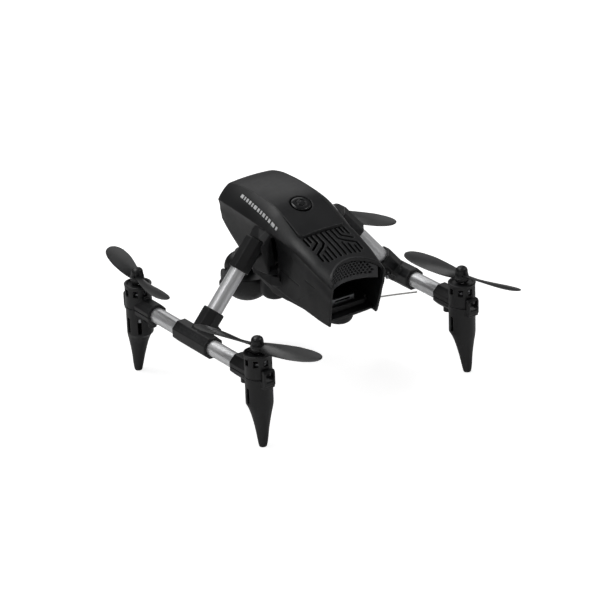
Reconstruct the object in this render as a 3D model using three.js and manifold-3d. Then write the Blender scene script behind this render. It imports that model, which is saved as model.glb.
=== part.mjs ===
// Quadcopter drone with a camera under the nose, in millimetres.
// +Z is up and +Y points to the nose; the left side is -X.
// The origin is on the ground, midway between the four motors.
import * as THREE from "three";
import { mergeVertices } from "three/addons/utils/BufferGeometryUtils.js";
import { ConvexGeometry } from "three/addons/geometries/ConvexGeometry.js";
import Module from "manifold-3d";

const wasm = await Module();
wasm.setup();

// ---- driving dimensions ----
const MOTOR_X = 62.7; // half the side-to-side motor spacing
const MOTOR_Y = 52; // half the fore-and-aft motor spacing
const GAP = 0.3; // clearance between separate parts
const TUBE_R = 4; // outside radius of arms and booms
const TUBE_BORE = 3.2; // inside radius of arms and booms
const BOOM_Z = 37; // height of the boom axis
const BOOM_END = 7.6; // from a motor axis to the end of the boom tube
const COLLAR_R = 5.95; // octagonal collars, centre to corner
const WALL = 1.5; // body shell
const COVER_T = 1.5;
const SIDES = [["left", -1], ["right", 1]];

// ---- materials ----
const matt = (color) => ({ color, roughness: 0.6, metalness: 0 });
const FINISHES = {
  shell: matt(0x1d1e20),
  frame: matt(0x1b1c1e),
  alu: { color: 0xb9bcc0, roughness: 0.35, metalness: 1 },
  prop: matt(0x17181a),
  dark: matt(0x101112),
  steel: { color: 0x8d9095, roughness: 0.6, metalness: 1 },
  board: matt(0x1e3b2a),
  copper: matt(0xb98a4a),
  glass: matt(0x0a0c12),
  wire: matt(0xd8d6d0),
};

// ---- solids ----
const vector = (point) => new THREE.Vector3(...point);
const lerp = (from, to, fraction) => from + (to - from) * fraction;

const manifold = (positions, indices) =>
  new wasm.Manifold(
    new wasm.Mesh({
      numProp: 3,
      vertProperties: new Float32Array(positions),
      triVerts: new Uint32Array(indices),
    }),
  );

function solid(geometry) {
  const bare = geometry.index ? geometry.toNonIndexed() : geometry.clone();
  // normals and uvs would keep shared corners from merging
  bare.deleteAttribute("normal");
  bare.deleteAttribute("uv");
  const merged = mergeVertices(bare, 1e-4);
  return manifold(merged.attributes.position.array, merged.index.array);
}

// Solid from a closed skin of triangles, turned outwards if its volume comes out negative.
function fromTriangles(points, triangles) {
  let volume = 0;
  for (const corners of triangles) {
    const [first, second, third] = corners.map((index) => vector(points[index]));
    volume += first.dot(second.cross(third));
  }
  const facing = triangles.flatMap(([i, j, k]) => (volume > 0 ? [i, j, k] : [i, k, j]));
  return manifold(points.flat(), facing);
}

// Skin through rings with the same number of points, both ends capped from their centres.
function loft(rings) {
  const count = rings[0].length;
  const points = rings.flat();
  const triangles = [];
  for (let k = 0; k + 1 < rings.length; k++)
    for (let i = 0; i < count; i++) {
      const j = (i + 1) % count;
      const near = k * count;
      const far = near + count;
      triangles.push([near + i, near + j, far + j], [near + i, far + j, far + i]);
    }
  const centre = (points) =>
    [0, 1, 2].map((k) => points.reduce((sum, point) => sum + point[k], 0) / count);
  const startCentre = points.length;
  points.push(centre(rings[0]), centre(rings.at(-1)));
  const last = (rings.length - 1) * count;
  for (let i = 0; i < count; i++) {
    const j = (i + 1) % count;
    triangles.push([startCentre, j, i], [startCentre + 1, last + i, last + j]);
  }
  return fromTriangles(points, triangles);
}

// Ring of points round an axis, starting at the angle turn.
function ring(centre, direction, radius, count, turn = 0) {
  const axis = vector(direction).normalize();
  let across = vector([0, 0, 1]).cross(axis);
  if (across.length() < 1e-6) across = vector([1, 0, 0]).cross(axis);
  across.normalize();
  const start = across.toArray();
  const quarter = axis.clone().cross(across).toArray();
  return Array.from({ length: count }, (_, i) => {
    const angle = turn + (2 * Math.PI * i) / count;
    const cos = Math.cos(angle);
    const sin = Math.sin(angle);
    return centre.map((value, k) => value + radius * (cos * start[k] + sin * quarter[k]));
  });
}

function rod(from, to, radius, count = 24, turn = 0) {
  const direction = to.map((value, k) => value - from[k]);
  return loft([from, to].map((end) => ring(end, direction, radius, count, turn)));
}
const upright = (x, y, z0, z1, radius, count) => rod([x, y, z0], [x, y, z1], radius, count);
const octagon = (from, to, radius) => rod(from, to, radius, 8, Math.PI / 8);

// Solid of revolution about the line from start: profile of [distance, radius].
function turned(start, direction, profile, count = 24) {
  const unit = vector(direction).normalize().toArray();
  return loft(
    profile.map(([distance, radius]) => {
      const centre = start.map((value, k) => value + unit[k] * distance);
      return ring(centre, direction, radius, count);
    }),
  );
}
const UP = [0, 0, 1];

function box(x0, x1, y0, y1, z0, z1) {
  const geometry = new THREE.BoxGeometry(x1 - x0, y1 - y0, z1 - z0);
  return solid(geometry.translate((x0 + x1) / 2, (y0 + y1) / 2, (z0 + z1) / 2));
}
const hull = (points) => solid(new ConvexGeometry(points.map(vector)));
const union = (solids) => solids.reduce((sum, next) => sum.add(next));
// Union of boxes, one row [x0, x1, y0, y1, z0, z1] each.
const boxes = (rows) => union(rows.map((row) => box(...row)));
// Drops the loose offcuts.
const largest = (whole) => whole.decompose().sort((a, b) => b.volume() - a.volume())[0];
// Points given for the right side, moved to either side.
const onSide = (side, points) => points.map(([x, y, z]) => [side * x, y, z]);

const root = new THREE.Group();
function addPiece(name, piece, finish) {
  const { vertProperties, triVerts } = piece.getMesh();
  const geometry = new THREE.BufferGeometry();
  geometry.setAttribute("position", new THREE.BufferAttribute(vertProperties, 3));
  geometry.setIndex(new THREE.BufferAttribute(triVerts, 1));
  const faceted = geometry.toNonIndexed();
  faceted.computeVertexNormals();
  const mesh = new THREE.Mesh(faceted, new THREE.MeshStandardMaterial(FINISHES[finish]));
  mesh.name = name;
  root.add(mesh);
}

// ---- body form ----
// y, crown z, half width of the top, widest x z, middle x z, lower x z, bottom x z,
// lean of the bottom towards the nose
const BODY = [
  [40, 94.6, 13.1, 20.0, 87.0, 19.0, 81.0, 18.2, 76.5, 15.0, 74.0, 0],
  [35, 95.9, 13.4, 20.9, 87.4, 19.2, 79.5, 18.2, 72.0, 15.4, 68.0, 0],
  [28, 96.8, 13.5, 21.5, 87.4, 19.2, 78.0, 18.0, 67.5, 16.0, 61.5, 0],
  [20, 96.9, 13.5, 21.9, 87.0, 19.2, 77.0, 17.9, 65.0, 16.6, 56.6, 0],
  [10, 96.2, 13.5, 22.0, 86.2, 19.2, 76.0, 17.8, 63.5, 17.2, 54.4, 0],
  [1, 94.9, 13.5, 21.8, 85.2, 19.2, 75.0, 17.8, 63.0, 17.4, 52.8, 0],
  [-5, 92.9, 13.5, 21.4, 84.0, 19.2, 74.5, 17.8, 62.5, 17.2, 51.6, 0],
  [-6.4, 92.2, 13.5, 21.2, 83.6, 16.7, 74.5, 16.3, 62.5, 17.1, 51.4, 0],
  [-12, 89.1, 13.5, 20.4, 82.2, 17.0, 74.0, 16.6, 61.5, 16.9, 50.2, 0],
  [-21.2, 84.1, 13.3, 19.0, 79.4, 17.9, 72.8, 17.1, 60.0, 16.3, 48.4, 0],
  [-21.5, 84.0, 13.2, 19.0, 79.3, 17.9, 72.7, 17.1, 60.0, 16.3, 48.4, 0],
  [-26, 82.3, 12.9, 18.9, 77.8, 18.0, 71.6, 17.2, 59.3, 16.1, 47.5, 0.2],
  [-31, 80.5, 12.7, 18.7, 75.8, 18.0, 70.4, 17.2, 58.5, 15.9, 46.7, 0.6],
  [-36, 78.4, 12.6, 18.5, 73.8, 17.8, 69.0, 17.0, 57.8, 15.7, 46.0, 1.5],
  [-41, 76.0, 12.5, 18.0, 71.6, 17.6, 67.0, 16.7, 57.0, 15.4, 45.2, 2.6],
  [-46, 73.8, 12.5, 17.4, 69.4, 17.2, 65.0, 16.3, 55.5, 15.3, 44.9, 4.0],
  [-50.3, 71.7, 12.4, 16.8, 67.4, 16.6, 62.0, 15.9, 54.0, 15.1, 44.6, 5.4],
];
// How far the cover stands proud of the body form: y, rise
const RISE = [[1, 0], [-5, 0.1], [-12, 0.75], [-21.2, 1.3], [-50.3, 1.3]];
const EDGE_DROP = 0.7; // from the crown to the edge of the top
const DECK_Y = -21.5; // station where the deck behind the cover begins

// Row of a table at y, less its first column; held at the first row ahead of it.
function sample(table, y) {
  if (y >= table[0][0]) return table[0].slice(1);
  const index = table.findIndex(([station]) => station <= y);
  const ahead = table[index - 1];
  const behind = table[index];
  const fraction = (ahead[0] - y) / (ahead[0] - behind[0]);
  return ahead.slice(1).map((value, k) => lerp(value, behind[k + 1], fraction));
}

// Cross-section at y, narrowed by inset, drawn at placeY.
function bodyRing(y, { inset = 0, topDrop = 0, baseDrop = 0, placeY = y } = {}) {
  const [crownZ, topX, wideX, wideZ, midX, midZ, lowX, lowZ, baseX, baseZ, lean] = sample(BODY, y);
  const topZ = crownZ - topDrop;
  const edge = [topX - inset * 0.4, topZ - EDGE_DROP];
  const widest = [wideX - inset, wideZ - inset * 0.3];
  // the shoulder behind the cover is rounder
  const [fullX, fullZ] = y < -21.4 ? [0.78, 0.2] : [0.62, 0.36];
  const control = [
    lerp(edge[0], widest[0], fullX),
    lerp(Math.min(edge[1], crownZ - EDGE_DROP - inset), wideZ, fullZ),
  ];
  const shoulder = [0.25, 0.5, 0.75, 1].map((t) =>
    [0, 1].map((k) => (1 - t) ** 2 * edge[k] + 2 * t * (1 - t) * control[k] + t * t * widest[k]),
  );
  const section = [
    [0, topZ],
    [edge[0] * 0.55, topZ - 0.2],
    edge,
    ...shoulder,
    [lerp(wideX, midX, 0.55) - inset - 0.25, lerp(wideZ, midZ, 0.5)],
    [midX - inset, midZ],
    [lerp(midX, lowX, 0.5) - inset - 0.1, lerp(midZ, lowZ, 0.5)],
    [lowX - inset, lowZ],
    [baseX - inset, baseZ + 1.2 - baseDrop],
    [baseX - inset - 0.7, baseZ - baseDrop],
    [0, baseZ - baseDrop],
  ];
  const shift = (z) => (z >= wideZ ? 0 : (lean * (wideZ - z)) / (wideZ - baseZ));
  const right = section.map(([x, z]) => [x, placeY + shift(z), z]);
  return [...right, ...onSide(-1, right.slice(1, -1).reverse())];
}

// Section of the hollow: lower where the cover lies over it, and open below.
function hollowRing(y, placeY = y) {
  let topDrop = WALL;
  if (y === DECK_Y) topDrop = WALL + 0.1;
  if (y > DECK_Y) topDrop = WALL + COVER_T + 0.6;
  return bodyRing(y, { inset: WALL, topDrop, baseDrop: 30, placeY });
}

const stations = BODY.map(([y]) => y);
const form = loft(stations.map((y) => bodyRing(y)));
const proudForm = loft(stations.map((y) => bodyRing(y, { topDrop: -sample(RISE, y)[0] })));
// the last ring carries the hollow out through the rear end
const hollow = loft([
  hollowRing(38),
  ...stations.slice(1).map((y) => hollowRing(y)),
  hollowRing(stations.at(-1), -60),
]);

// ---- arm axes ----
const ARM_Y = 0.3;
const ARM_Z = 36; // foot of the arm axis
const ARM_DX = -0.657; // arm direction, from the boom axis up to the body
const ARM_DZ = 0.754;
// distances along the arm axis from its foot
const SOCKET_START = 40.2;
const SOCKET_END = 57.6;
const ARM_START = 9.6;
const ARM_END = SOCKET_START + 14;
const STEM_END = 17;
const SOCKET_R = 5.65; // octagon, centre to corner
const armPoint = (side, along) => [side * (MOTOR_X + ARM_DX * along), ARM_Y, ARM_Z + ARM_DZ * along];

// ---- socket fairings and ledges, points of the right side ----
const FAIRING = [
  [17.5, -6.3, 86.2], [24.0, -6.3, 86.4], [23.0, -6.3, 75.6], [23.1, -6.3, 62.2],
  [17.5, -6.3, 60.4], [25.0, -3.4, 87.6], [24.0, 1.2, 87.2], [29.4, -2.3, 81.9],
  [29.3, -5.9, 77.8], [17.5, 7.0, 86], [22.6, 7.0, 84.5], [25.0, 7.0, 80],
  [24.2, 7.0, 62], [22.0, -6.0, 61.4], [17.5, 9, 61],
];
const FAIRING_HOLLOW = [
  [15, -7, 84.6], [22.4, -7, 84.6], [21.6, -7, 75.6], [21.6, -7, 63.4], [15, -7, 63.4],
  [15, -1.6, 83.6], [21.2, -1.6, 83.4], [20.4, -1.6, 75.6], [20.6, -1.6, 64.4],
  [15, -1.6, 64.4],
];
const LEDGE = [
  [17.2, -8, 54.4], [17.2, 12, 58.2], [17.2, -8, 59.4], [17.2, 12, 61.6],
  [20.2, 11.5, 60.2], [20.4, 11.5, 62.4], [24.4, 5, 60.4], [24.4, 5, 62.3],
  [21.4, -5.5, 55.5], [21.4, -5.5, 60.8],
];
// Fairing over the socket, hollowed from the rear, with a ledge under the socket.
function fairing(side) {
  const [outer, inner, ledge] = [FAIRING, FAIRING_HOLLOW, LEDGE].map((points) =>
    hull(onSide(side, points)),
  );
  return outer.subtract(inner).add(ledge);
}

// ---- vent grooves in the deck behind the cover ----
// Runs of [x, y] points for the right side
const GROOVES = [
  [[1.5, -21.9], [1.5, -38.2]],
  [[4.5, -21.9], [4.5, -28.2], [6.6, -30.2], [11.9, -33.1], [11.9, -37.4]],
  [[7.4, -21.9], [7.4, -26.8], [12.2, -29.7]],
  [[9.9, -21.9], [9.9, -25.2]],
  [[12.2, -21.9], [12.2, -26.6]],
  [[4.5, -31.2], [4.5, -38.3]],
  [[7.1, -32.8], [7.1, -38.6]],
  [[9.6, -34.6], [9.6, -38.8]],
];
const GROOVE_W = 1.1;
function groove(points) {
  const runs = points.slice(1).map(([x1, y1], i) => {
    const [x0, y0] = points[i];
    const length = Math.hypot(x1 - x0, y1 - y0) + GROOVE_W * 0.9; // overlaps at the bends
    const bar = new THREE.BoxGeometry(length, GROOVE_W, 16);
    bar.rotateZ(Math.atan2(y1 - y0, x1 - x0));
    return solid(bar.translate((x0 + x1) / 2, (y0 + y1) / 2, 80));
  });
  return union(runs);
}
function ventGrooves() {
  const grooves = [-1, 1].flatMap((side) =>
    GROOVES.map((points) => groove(points.map(([x, y]) => [side * x, y]))),
  );
  return union(grooves).intersect(box(-12.8, 12.8, -41, -21.65, 70, 90));
}

// ---- button axis and well ----
const BUTTON_R = 5.2;
const BUTTON_SEAT = [0, -3.9, 93.35]; // where the axis meets the cover
const BUTTON_AXIS = [0, -0.285, 0.9585];
const WELL_R = BUTTON_R + 0.6;
const onButton = (rise) => BUTTON_SEAT.map((value, k) => value + BUTTON_AXIS[k] * rise);

// ---- shell and cover ----
const COVER_HALF = 13.4;
const LIP_Y = -21.35; // rear edge of the cover
const NOTCH_Y = -61.3; // centre of the round notch in the rear edge of the roof
const NOTCH_R = 19.5;
const coverBand = (halfWidth, rearY) => box(-halfWidth, halfWidth, rearY, 45, 70, 110);
// Wedge that clips a rear corner of the cover, drawn in by the clearance.
const lipCorner = (side, clearance) =>
  hull(
    [70, 95].flatMap((z) =>
      onSide(side, [
        [11.2 + clearance * 1.36, -22, z],
        [14.5, -22, z],
        [14.5, -18.4 - clearance * 1.48, z],
      ]),
    ),
  );

function upperShell() {
  let shell = form.add(fairing(-1)).add(fairing(1)).subtract(hollow);
  const coverRecess = coverBand(COVER_HALF + GAP, LIP_Y - GAP / 2)
    .subtract(form.translate([0, 0, -COVER_T - GAP]))
    .subtract(lipCorner(-1, GAP))
    .subtract(lipCorner(1, GAP));
  shell = shell.subtract(coverRecess).subtract(ventGrooves());
  for (const side of [-1, 1]) {
    const seatStart = armPoint(side, SOCKET_START - 6);
    const seatEnd = armPoint(side, SOCKET_END + 0.4);
    shell = shell
      .subtract(octagon(seatStart, seatEnd, SOCKET_R + GAP))
      .subtract(upright(side * 22.3, 3.2, 50, 64, 0.7, 12)); // small hole in the ledge
  }
  const notch = upright(0, NOTCH_Y, 58, 90, NOTCH_R, 48);
  shell = shell
    .subtract(notch.intersect(box(-15.2, 15.2, -60, -35, 58, 90)))
    .subtract(rod(onButton(-10), onButton(6), 2.2, 20))
    .subtract(rod(onButton(-2.8), onButton(6), WELL_R, 32));
  return largest(shell);
}

function topCover() {
  const cover = proudForm
    .intersect(coverBand(COVER_HALF, LIP_Y))
    .subtract(form.translate([0, 0, -COVER_T]))
    .subtract(rod(onButton(-6), onButton(6), WELL_R, 32))
    .subtract(lipCorner(-1, 0))
    .subtract(lipCorner(1, 0));
  return largest(cover);
}

// Cap with a ring groove in its face and a stem below.
function powerButton() {
  const profile = [[0, BUTTON_R], [1.1, BUTTON_R], [1.6, BUTTON_R - 0.5], [1.8, BUTTON_R - 1.2]];
  const ringGroove = turned(onButton(0.05), BUTTON_AXIS, [[0, 2.9], [1, 2.9]]).subtract(
    rod(onButton(-0.5), onButton(2), 2.2),
  );
  return turned(onButton(-1.4), BUTTON_AXIS, profile, 32)
    .subtract(ringGroove)
    .add(rod(onButton(-6), onButton(-1.2), 1.6, 16));
}

// ---- main board under the roof, with the switch ----
const mainBoard = () =>
  boxes([
    [-12.4, 12.4, -9.5, 26, 83.2, 84.6],
    [-6, 6, 8, 18, 84.4, 86.6],
    [-9, -5, -8, -4, 84.4, 85.6],
    [4, 9, -1, 3, 84.4, 86],
  ]);
function buttonSwitch() {
  const plungerFoot = [0, onButton(-7.2)[1], 86];
  return box(-2.6, 2.6, -5, 0.2, 84.9, 86.2).add(rod(plungerFoot, onButton(-6.9), 1.3, 16));
}

// ---- rear grille, with the bay roof joined to its foot ----
const BAY_ROOF_Z = 65.2;
const BAY_ROOF_T = 1.2;
const GRILLE_HALF = 14;
const GRILLE_STEPS = 16;
const HOLE_PITCH = 2.3;
const HOLE_ROWS = 4;

// Upright panel, bowed in plan round the notch.
function grillePanel() {
  const arc = (radius) =>
    Array.from({ length: GRILLE_STEPS + 1 }, (_, i) => {
      const x = lerp(-GRILLE_HALF, GRILLE_HALF, i / GRILLE_STEPS);
      return new THREE.Vector2(x, NOTCH_Y + Math.sqrt(radius * radius - x * x));
    });
  const plan = new THREE.Shape([...arc(NOTCH_R + 1.5), ...arc(NOTCH_R + GAP).reverse()]);
  const baseZ = BAY_ROOF_Z - BAY_ROOF_T;
  const panel = new THREE.ExtrudeGeometry(plan, { depth: 80 - baseZ, bevelEnabled: false });
  return solid(panel.translate(0, 0, baseZ));
}

function rearGrille() {
  // above its foot the panel is trimmed to the hollow of the shell
  const outsideHollow = box(-20, 20, -60, -30, 50, 90)
    .subtract(hollow.translate([0, 0, -0.45]))
    .subtract(box(-20, 20, -60, -30, 50, 66));
  const bayRoof = box(-13.6, 13.6, -45, -4, BAY_ROOF_Z - BAY_ROOF_T, BAY_ROOF_Z).subtract(
    upright(0, NOTCH_Y, 50, 90, NOTCH_R + 0.6, 48),
  );
  let grille = grillePanel().subtract(outsideHollow).add(bayRoof);
  // staggered rows of diamond holes; the top row is shorter
  for (let row = 0; row < HOLE_ROWS; row++) {
    const halfRow = row === HOLE_ROWS - 1 ? 9 : 11.8;
    for (let i = -5; i <= 5; i++) {
      const x = i * HOLE_PITCH + ((row % 2) * HOLE_PITCH) / 2 - HOLE_PITCH / 4;
      const z = 66.9 + row * 1.75;
      if (Math.abs(x) > halfRow) continue;
      grille = grille.subtract(rod([x, -52, z], [x, -37, z], 0.62, 4));
    }
  }
  return largest(grille);
}

// ---- battery bay ----
const bayTray = () =>
  boxes([
    [-13.8, 13.8, -38.2, 0, 48.5, 50],
    [-13.8, 13.8, -39.2, -37.9, 47.9, 50.7],
    [-13.8, 13.8, -1.4, 0, 48.5, 63.4],
    [-13.8, -12.6, -37.5, 0, 49.5, 51.6],
    [12.6, 13.8, -37.5, 0, 49.5, 51.6],
  ]);
// Block with three tabs on its rear face.
const bayContacts = () =>
  boxes([
    [-6, 6, -5.4, -1.8, 54, 60],
    [-4.6, -3.6, -7.6, -5, 55.6, 58.4],
    [-0.5, 0.5, -7.6, -5, 55.6, 58.4],
    [3.6, 4.6, -7.6, -5, 55.6, 58.4],
  ]);
const bayLatch = () =>
  boxes([
    [-7.25, 7.25, -36.4, -35.2, 50.3, 53.7],
    [-7.25, 7.25, -35.4, -31.5, 50.3, 51.2],
  ]);

// ---- belly pan and floor sensor ----
// y, half width, top z, bottom z
const PAN = [
  [-43.4, 12.6, 47.2, 46.0],
  [-40, 13.3, 47.4, 44.9],
  [-30, 13.5, 47.6, 45.2],
  [-18, 13.9, 47.9, 45.9],
  [-6, 14.5, 48.1, 46.8],
  [0.6, 14.6, 48.2, 47.0],
  [4, 14.6, 49.8, 48.0],
  [14, 14.4, 52.6, 50.4],
  [22, 14.2, 55.6, 53.4],
  [30, 14.0, 61.6, 59.6],
  [36.6, 13.4, 68.2, 66.4],
];
const PAN_STEPS = 10; // across the rounded underside
// The two round bosses: height over the foot, radius
const FRONT_BOSS = [[0, 2.8], [1.1, 5.4], [3.2, 7.1], [7, 7.5], [12, 6.9], [21, 6.9]];
const REAR_BOSS = [[0, 4.2], [0.9, 5.9], [2.8, 7], [7.2, 7.6]];
const SENSOR_Y = -33;

function panRing([y, halfWidth, topZ, bottomZ]) {
  const rimZ = topZ - 0.6;
  const points = [];
  for (let i = 0; i <= PAN_STEPS; i++) {
    const angle = (Math.PI * i) / PAN_STEPS;
    const z = rimZ - (rimZ - bottomZ) * Math.sin(angle) ** 0.7;
    points.push([halfWidth * Math.cos(angle), y, z]);
  }
  for (const across of [-1, -0.3, 0.3, 1]) points.push([halfWidth * across, y, topZ]);
  return points;
}
function bellyPan() {
  const frontBoss = turned([0, 21.5, 33.4], UP, FRONT_BOSS, 20);
  return loft(PAN.map(panRing))
    .add(frontBoss.intersect(box(-20, 20, 0, 40, 30, 54)))
    .add(turned([0, SENSOR_Y, 39.6], UP, REAR_BOSS))
    .subtract(upright(0, SENSOR_Y, 36, 41.6, 3.3, 20));
}

// Wire out to the right, kept clear of the hollow.
const antennaWire = () =>
  rod([15, -30, 45.2], [51.3, -30, 39], 0.45, 8).subtract(hollow.intersect(form));

// ---- arms, T-joints, booms ----
const TJOINT_HALF = 14.1; // half length of a T-joint collar
function armSocket(side) {
  const at = (along) => armPoint(side, along);
  return octagon(at(SOCKET_START), at(SOCKET_END), SOCKET_R).subtract(
    rod(at(SOCKET_START - 1), at(ARM_END + GAP), TUBE_R + GAP, 16),
  );
}
function armTube(side) {
  const at = (along) => armPoint(side, along);
  const bore = rod(at(9), at(SOCKET_START + 15), TUBE_BORE, 16);
  return rod(at(ARM_START), at(ARM_END), TUBE_R).subtract(bore);
}

// Collar on the boom and stem on the arm, with a web and a slanting screw boss between.
function tJoint(side) {
  const at = (along) => armPoint(side, along);
  const boomX = side * MOTOR_X;
  const inward = (distance, y, z) => [boomX - side * distance, y, z];
  const alongBoom = (half, radius, make) => make([boomX, -half, BOOM_Z], [boomX, half, BOOM_Z], radius, 16);
  const [innerX, , innerZ] = at(11);
  const [outerX, , outerZ] = at(9);
  const web = hull([
    inward(3.5, -9, BOOM_Z + 2.2),
    inward(3.5, 9.6, BOOM_Z + 2.2),
    inward(1.5, -8, BOOM_Z - 3),
    inward(1.5, 8.6, BOOM_Z - 3),
    [innerX - side * 2.6, -2.8, innerZ - 3.4],
    [innerX - side * 2.6, 3.4, innerZ - 3.4],
    [outerX + side * 2, -2.8, outerZ + 3.2],
    [outerX + side * 2, 3.4, outerZ + 3.2],
  ]);
  const joint = alongBoom(TJOINT_HALF, COLLAR_R, octagon)
    .add(octagon(at(1), at(STEM_END), COLLAR_R))
    .add(web)
    .add(rod(inward(10.2, -4, 38.6), inward(8.6, -1, 41.6), 2, 12))
    .subtract(alongBoom(20, TUBE_R + GAP, rod))
    .subtract(rod(at(ARM_START - GAP), at(STEM_END + 2), TUBE_R + GAP, 16));
  const screwHole = rod(inward(10.9, -5.3, 37.3), inward(9, -1.75, 40.85), 1.25, 12);
  return largest(joint).subtract(screwHole);
}
function tScrew(side) {
  const start = [side * MOTOR_X - side * 10.75, -5, 37.6];
  return turned(start, [side * 1.6, 3, 3], [[0, 0.95], [3.6, 0.95]], 12);
}
function boomTube(side) {
  const x = side * MOTOR_X;
  const end = MOTOR_Y - BOOM_END;
  return rod([x, -end, BOOM_Z], [x, end, BOOM_Z], TUBE_R).subtract(
    rod([x, -60, BOOM_Z], [x, 60, BOOM_Z], TUBE_BORE, 16),
  );
}

// ---- corners: bracket, leg and motor ----
const HOUSING_R = 6.8;
const RIM_Z = 49.2; // top of a motor housing
const SPLIT_Z = 37; // bracket above, leg below
const COLLAR_IN = 16.8; // collar length from the motor axis inwards
const CAN_R = 4.25;
const CAN_Z = 28.2; // foot of the motor can
const CAN_HEIGHT = 20;
const CAN_CHAMFER = 0.6;
const SHAFT_R = 0.5;
const LEG_SCREW_Y = -11.4; // towards the body from the motor axis
// name, x sign, y sign, blade line angle in degrees, spin (1 counter-clockwise from above)
const CORNERS = [
  ["fl", -1, 1, 79, -1],
  ["rl", -1, -1, 109.2, 1],
  ["rr", 1, -1, 101.3, -1],
  ["fr", 1, 1, 109.2, 1],
];
// z, centre out x, centre out y, radius x, radius y
const LEG = [
  [SPLIT_Z, 0, 0, HOUSING_R, HOUSING_R],
  [22.4, 0, 0, HOUSING_R, HOUSING_R],
  [20.4, 0.1, 0.9, 6.1, 5.8],
  [18, 0.2, 1.3, 5.4, 5],
  [10, 0.5, 2, 3.6, 3.5],
  [1.2, 0.85, 2.6, 2.2, 2.2],
  [0, 0.9, 2.6, 1.9, 1.9],
];
const LEG_SEGMENTS = 20;

// Tools of one corner; x and y run outwards from its motor axis.
function cornerFrame(xSign, ySign) {
  const at = (x, y, z) => [xSign * MOTOR_X + xSign * x, ySign * MOTOR_Y + ySign * y, z];
  const column = (y, z0, z1, radius, count) => rod(at(0, y, z0), at(0, y, z1), radius, count);
  const block = (x0, x1, y0, y1, z0, z1) => {
    const [ax, ay] = at(x0, y0, z0);
    const [bx, by] = at(x1, y1, z1);
    return box(Math.min(ax, bx), Math.max(ax, bx), Math.min(ay, by), Math.max(ay, by), z0, z1);
  };
  // box set out from the motor axis in the direction of the angle
  const radialBox = (size, distance, angle, z) => {
    const geometry = new THREE.BoxGeometry(...size).translate(distance, 0, 0);
    return solid(geometry.rotateZ(angle).translate(...at(0, 0, z)));
  };
  return {
    ySign,
    at,
    column,
    block,
    radialBox,
    collar: octagon(at(0, -COLLAR_IN, BOOM_Z), at(0, -4, BOOM_Z), COLLAR_R),
    boomBore: rod(at(0, -30, BOOM_Z), at(0, GAP - BOOM_END, BOOM_Z), TUBE_R + GAP, 16),
    canBore: column(0, CAN_Z - 0.2, 60, CAN_R + GAP, 16),
  };
}

// Motor housing with a notched rim and a catch on its outer face.
function cornerBracket({ column, block, radialBox, collar, boomBore, canBore }) {
  let bracket = column(0, SPLIT_Z - 1, RIM_Z, HOUSING_R, 24)
    .add(collar)
    .subtract(block(-12, 12, -30, 12, 10, SPLIT_Z + GAP / 2))
    .subtract(boomBore)
    .subtract(canBore)
    .subtract(column(0, 43.8, 60, 5.6, 20));
  for (let i = 0; i < 8; i++) {
    const angle = (i * Math.PI) / 4 + Math.PI / 8;
    bracket = bracket.subtract(radialBox([6, 2.5, 2.8], 7, angle, 46.2));
  }
  return bracket.add(block(-1.2, 1.2, 6.2, 7.6, 38.8, 40.2));
}

function cornerLeg({ ySign, at, column, block, radialBox, collar, boomBore, canBore }) {
  const rings = LEG.map(([z, outX, outY, radiusX, radiusY]) =>
    Array.from({ length: LEG_SEGMENTS }, (_, i) => {
      const angle = (2 * Math.PI * i) / LEG_SEGMENTS;
      return at(outX + radiusX * Math.cos(angle), outY + radiusY * Math.sin(angle), z);
    }),
  );
  let leg = loft(rings)
    .add(collar.intersect(block(-12, 12, -30, 0, 20, SPLIT_Z)))
    .add(column(LEG_SCREW_Y, 29, 33, 2.3, 12))
    .subtract(block(-12, 12, -30, 12, SPLIT_Z - GAP / 2, 60))
    .subtract(boomBore)
    .subtract(canBore)
    .subtract(column(0, 22.6, 30, 3.9, 16));
  const boomSlot = ySign > 0 ? 3 : 1; // would face along the boom, so it is turned aside
  for (let i = 0; i < 4; i++) {
    const angle = (i * Math.PI) / 2 + (i === boomSlot ? 0.6 : 0);
    leg = leg.subtract(radialBox([6, 1.8, 8.2], 6.4, angle, 27.4));
  }
  // upright clip with a window round the bracket's catch
  const clip = block(-2.9, 2.9, 5.4, 8.4, 33.6, 36.4)
    .add(block(-2.9, 2.9, 7.1, 8.4, 34, 42.6))
    .subtract(block(-1.6, 1.6, 6.9, 9, 38.4, 41.2));
  leg = leg.add(clip).subtract(canBore).subtract(column(LEG_SCREW_Y, 28, 32.6, 1.35, 12));
  return largest(leg);
}

function motorCan({ at, column }) {
  const profile = [
    [0, 3.8],
    [CAN_CHAMFER, CAN_R],
    [CAN_HEIGHT - CAN_CHAMFER, CAN_R],
    [CAN_HEIGHT, 3.8],
  ];
  return turned(at(0, 0, CAN_Z), UP, profile).subtract(column(0, 45.2, 50, SHAFT_R + 0.2, 12));
}

// ---- propellers ----
const PROP_R = 37;
const PROP_Z = 52.2; // blade roots
const CONING = 2.2; // rise of a blade tip over its root
const HUB_Z = 49.4;
// height over the hub foot, radius
const HUB = [[0, 2.3], [0.6, 2.75], [5.4, 2.75], [7.2, 2.4], [8, 1.4], [8.2, 0.5]];
// radius, chord, twist in degrees, thickness, lift
const BLADE = [
  [1.2, 4, 30, 2, 0],
  [4, 4.6, 28, 1.7, 0],
  [9, 7, 24, 1.3, 0],
  [15, 9.2, 20, 1.1, 0.1],
  [22, 10.2, 16, 0.95, 0.2],
  [28, 9.8, 13, 0.85, 0.2],
  [32.5, 8.2, 11, 0.75, 0.2],
  [35.4, 5.6, 10, 0.6, 0.2],
  [36.6, 3, 10, 0.45, 0.2],
  [PROP_R, 1, 10, 0.3, 0.2],
];
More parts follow.
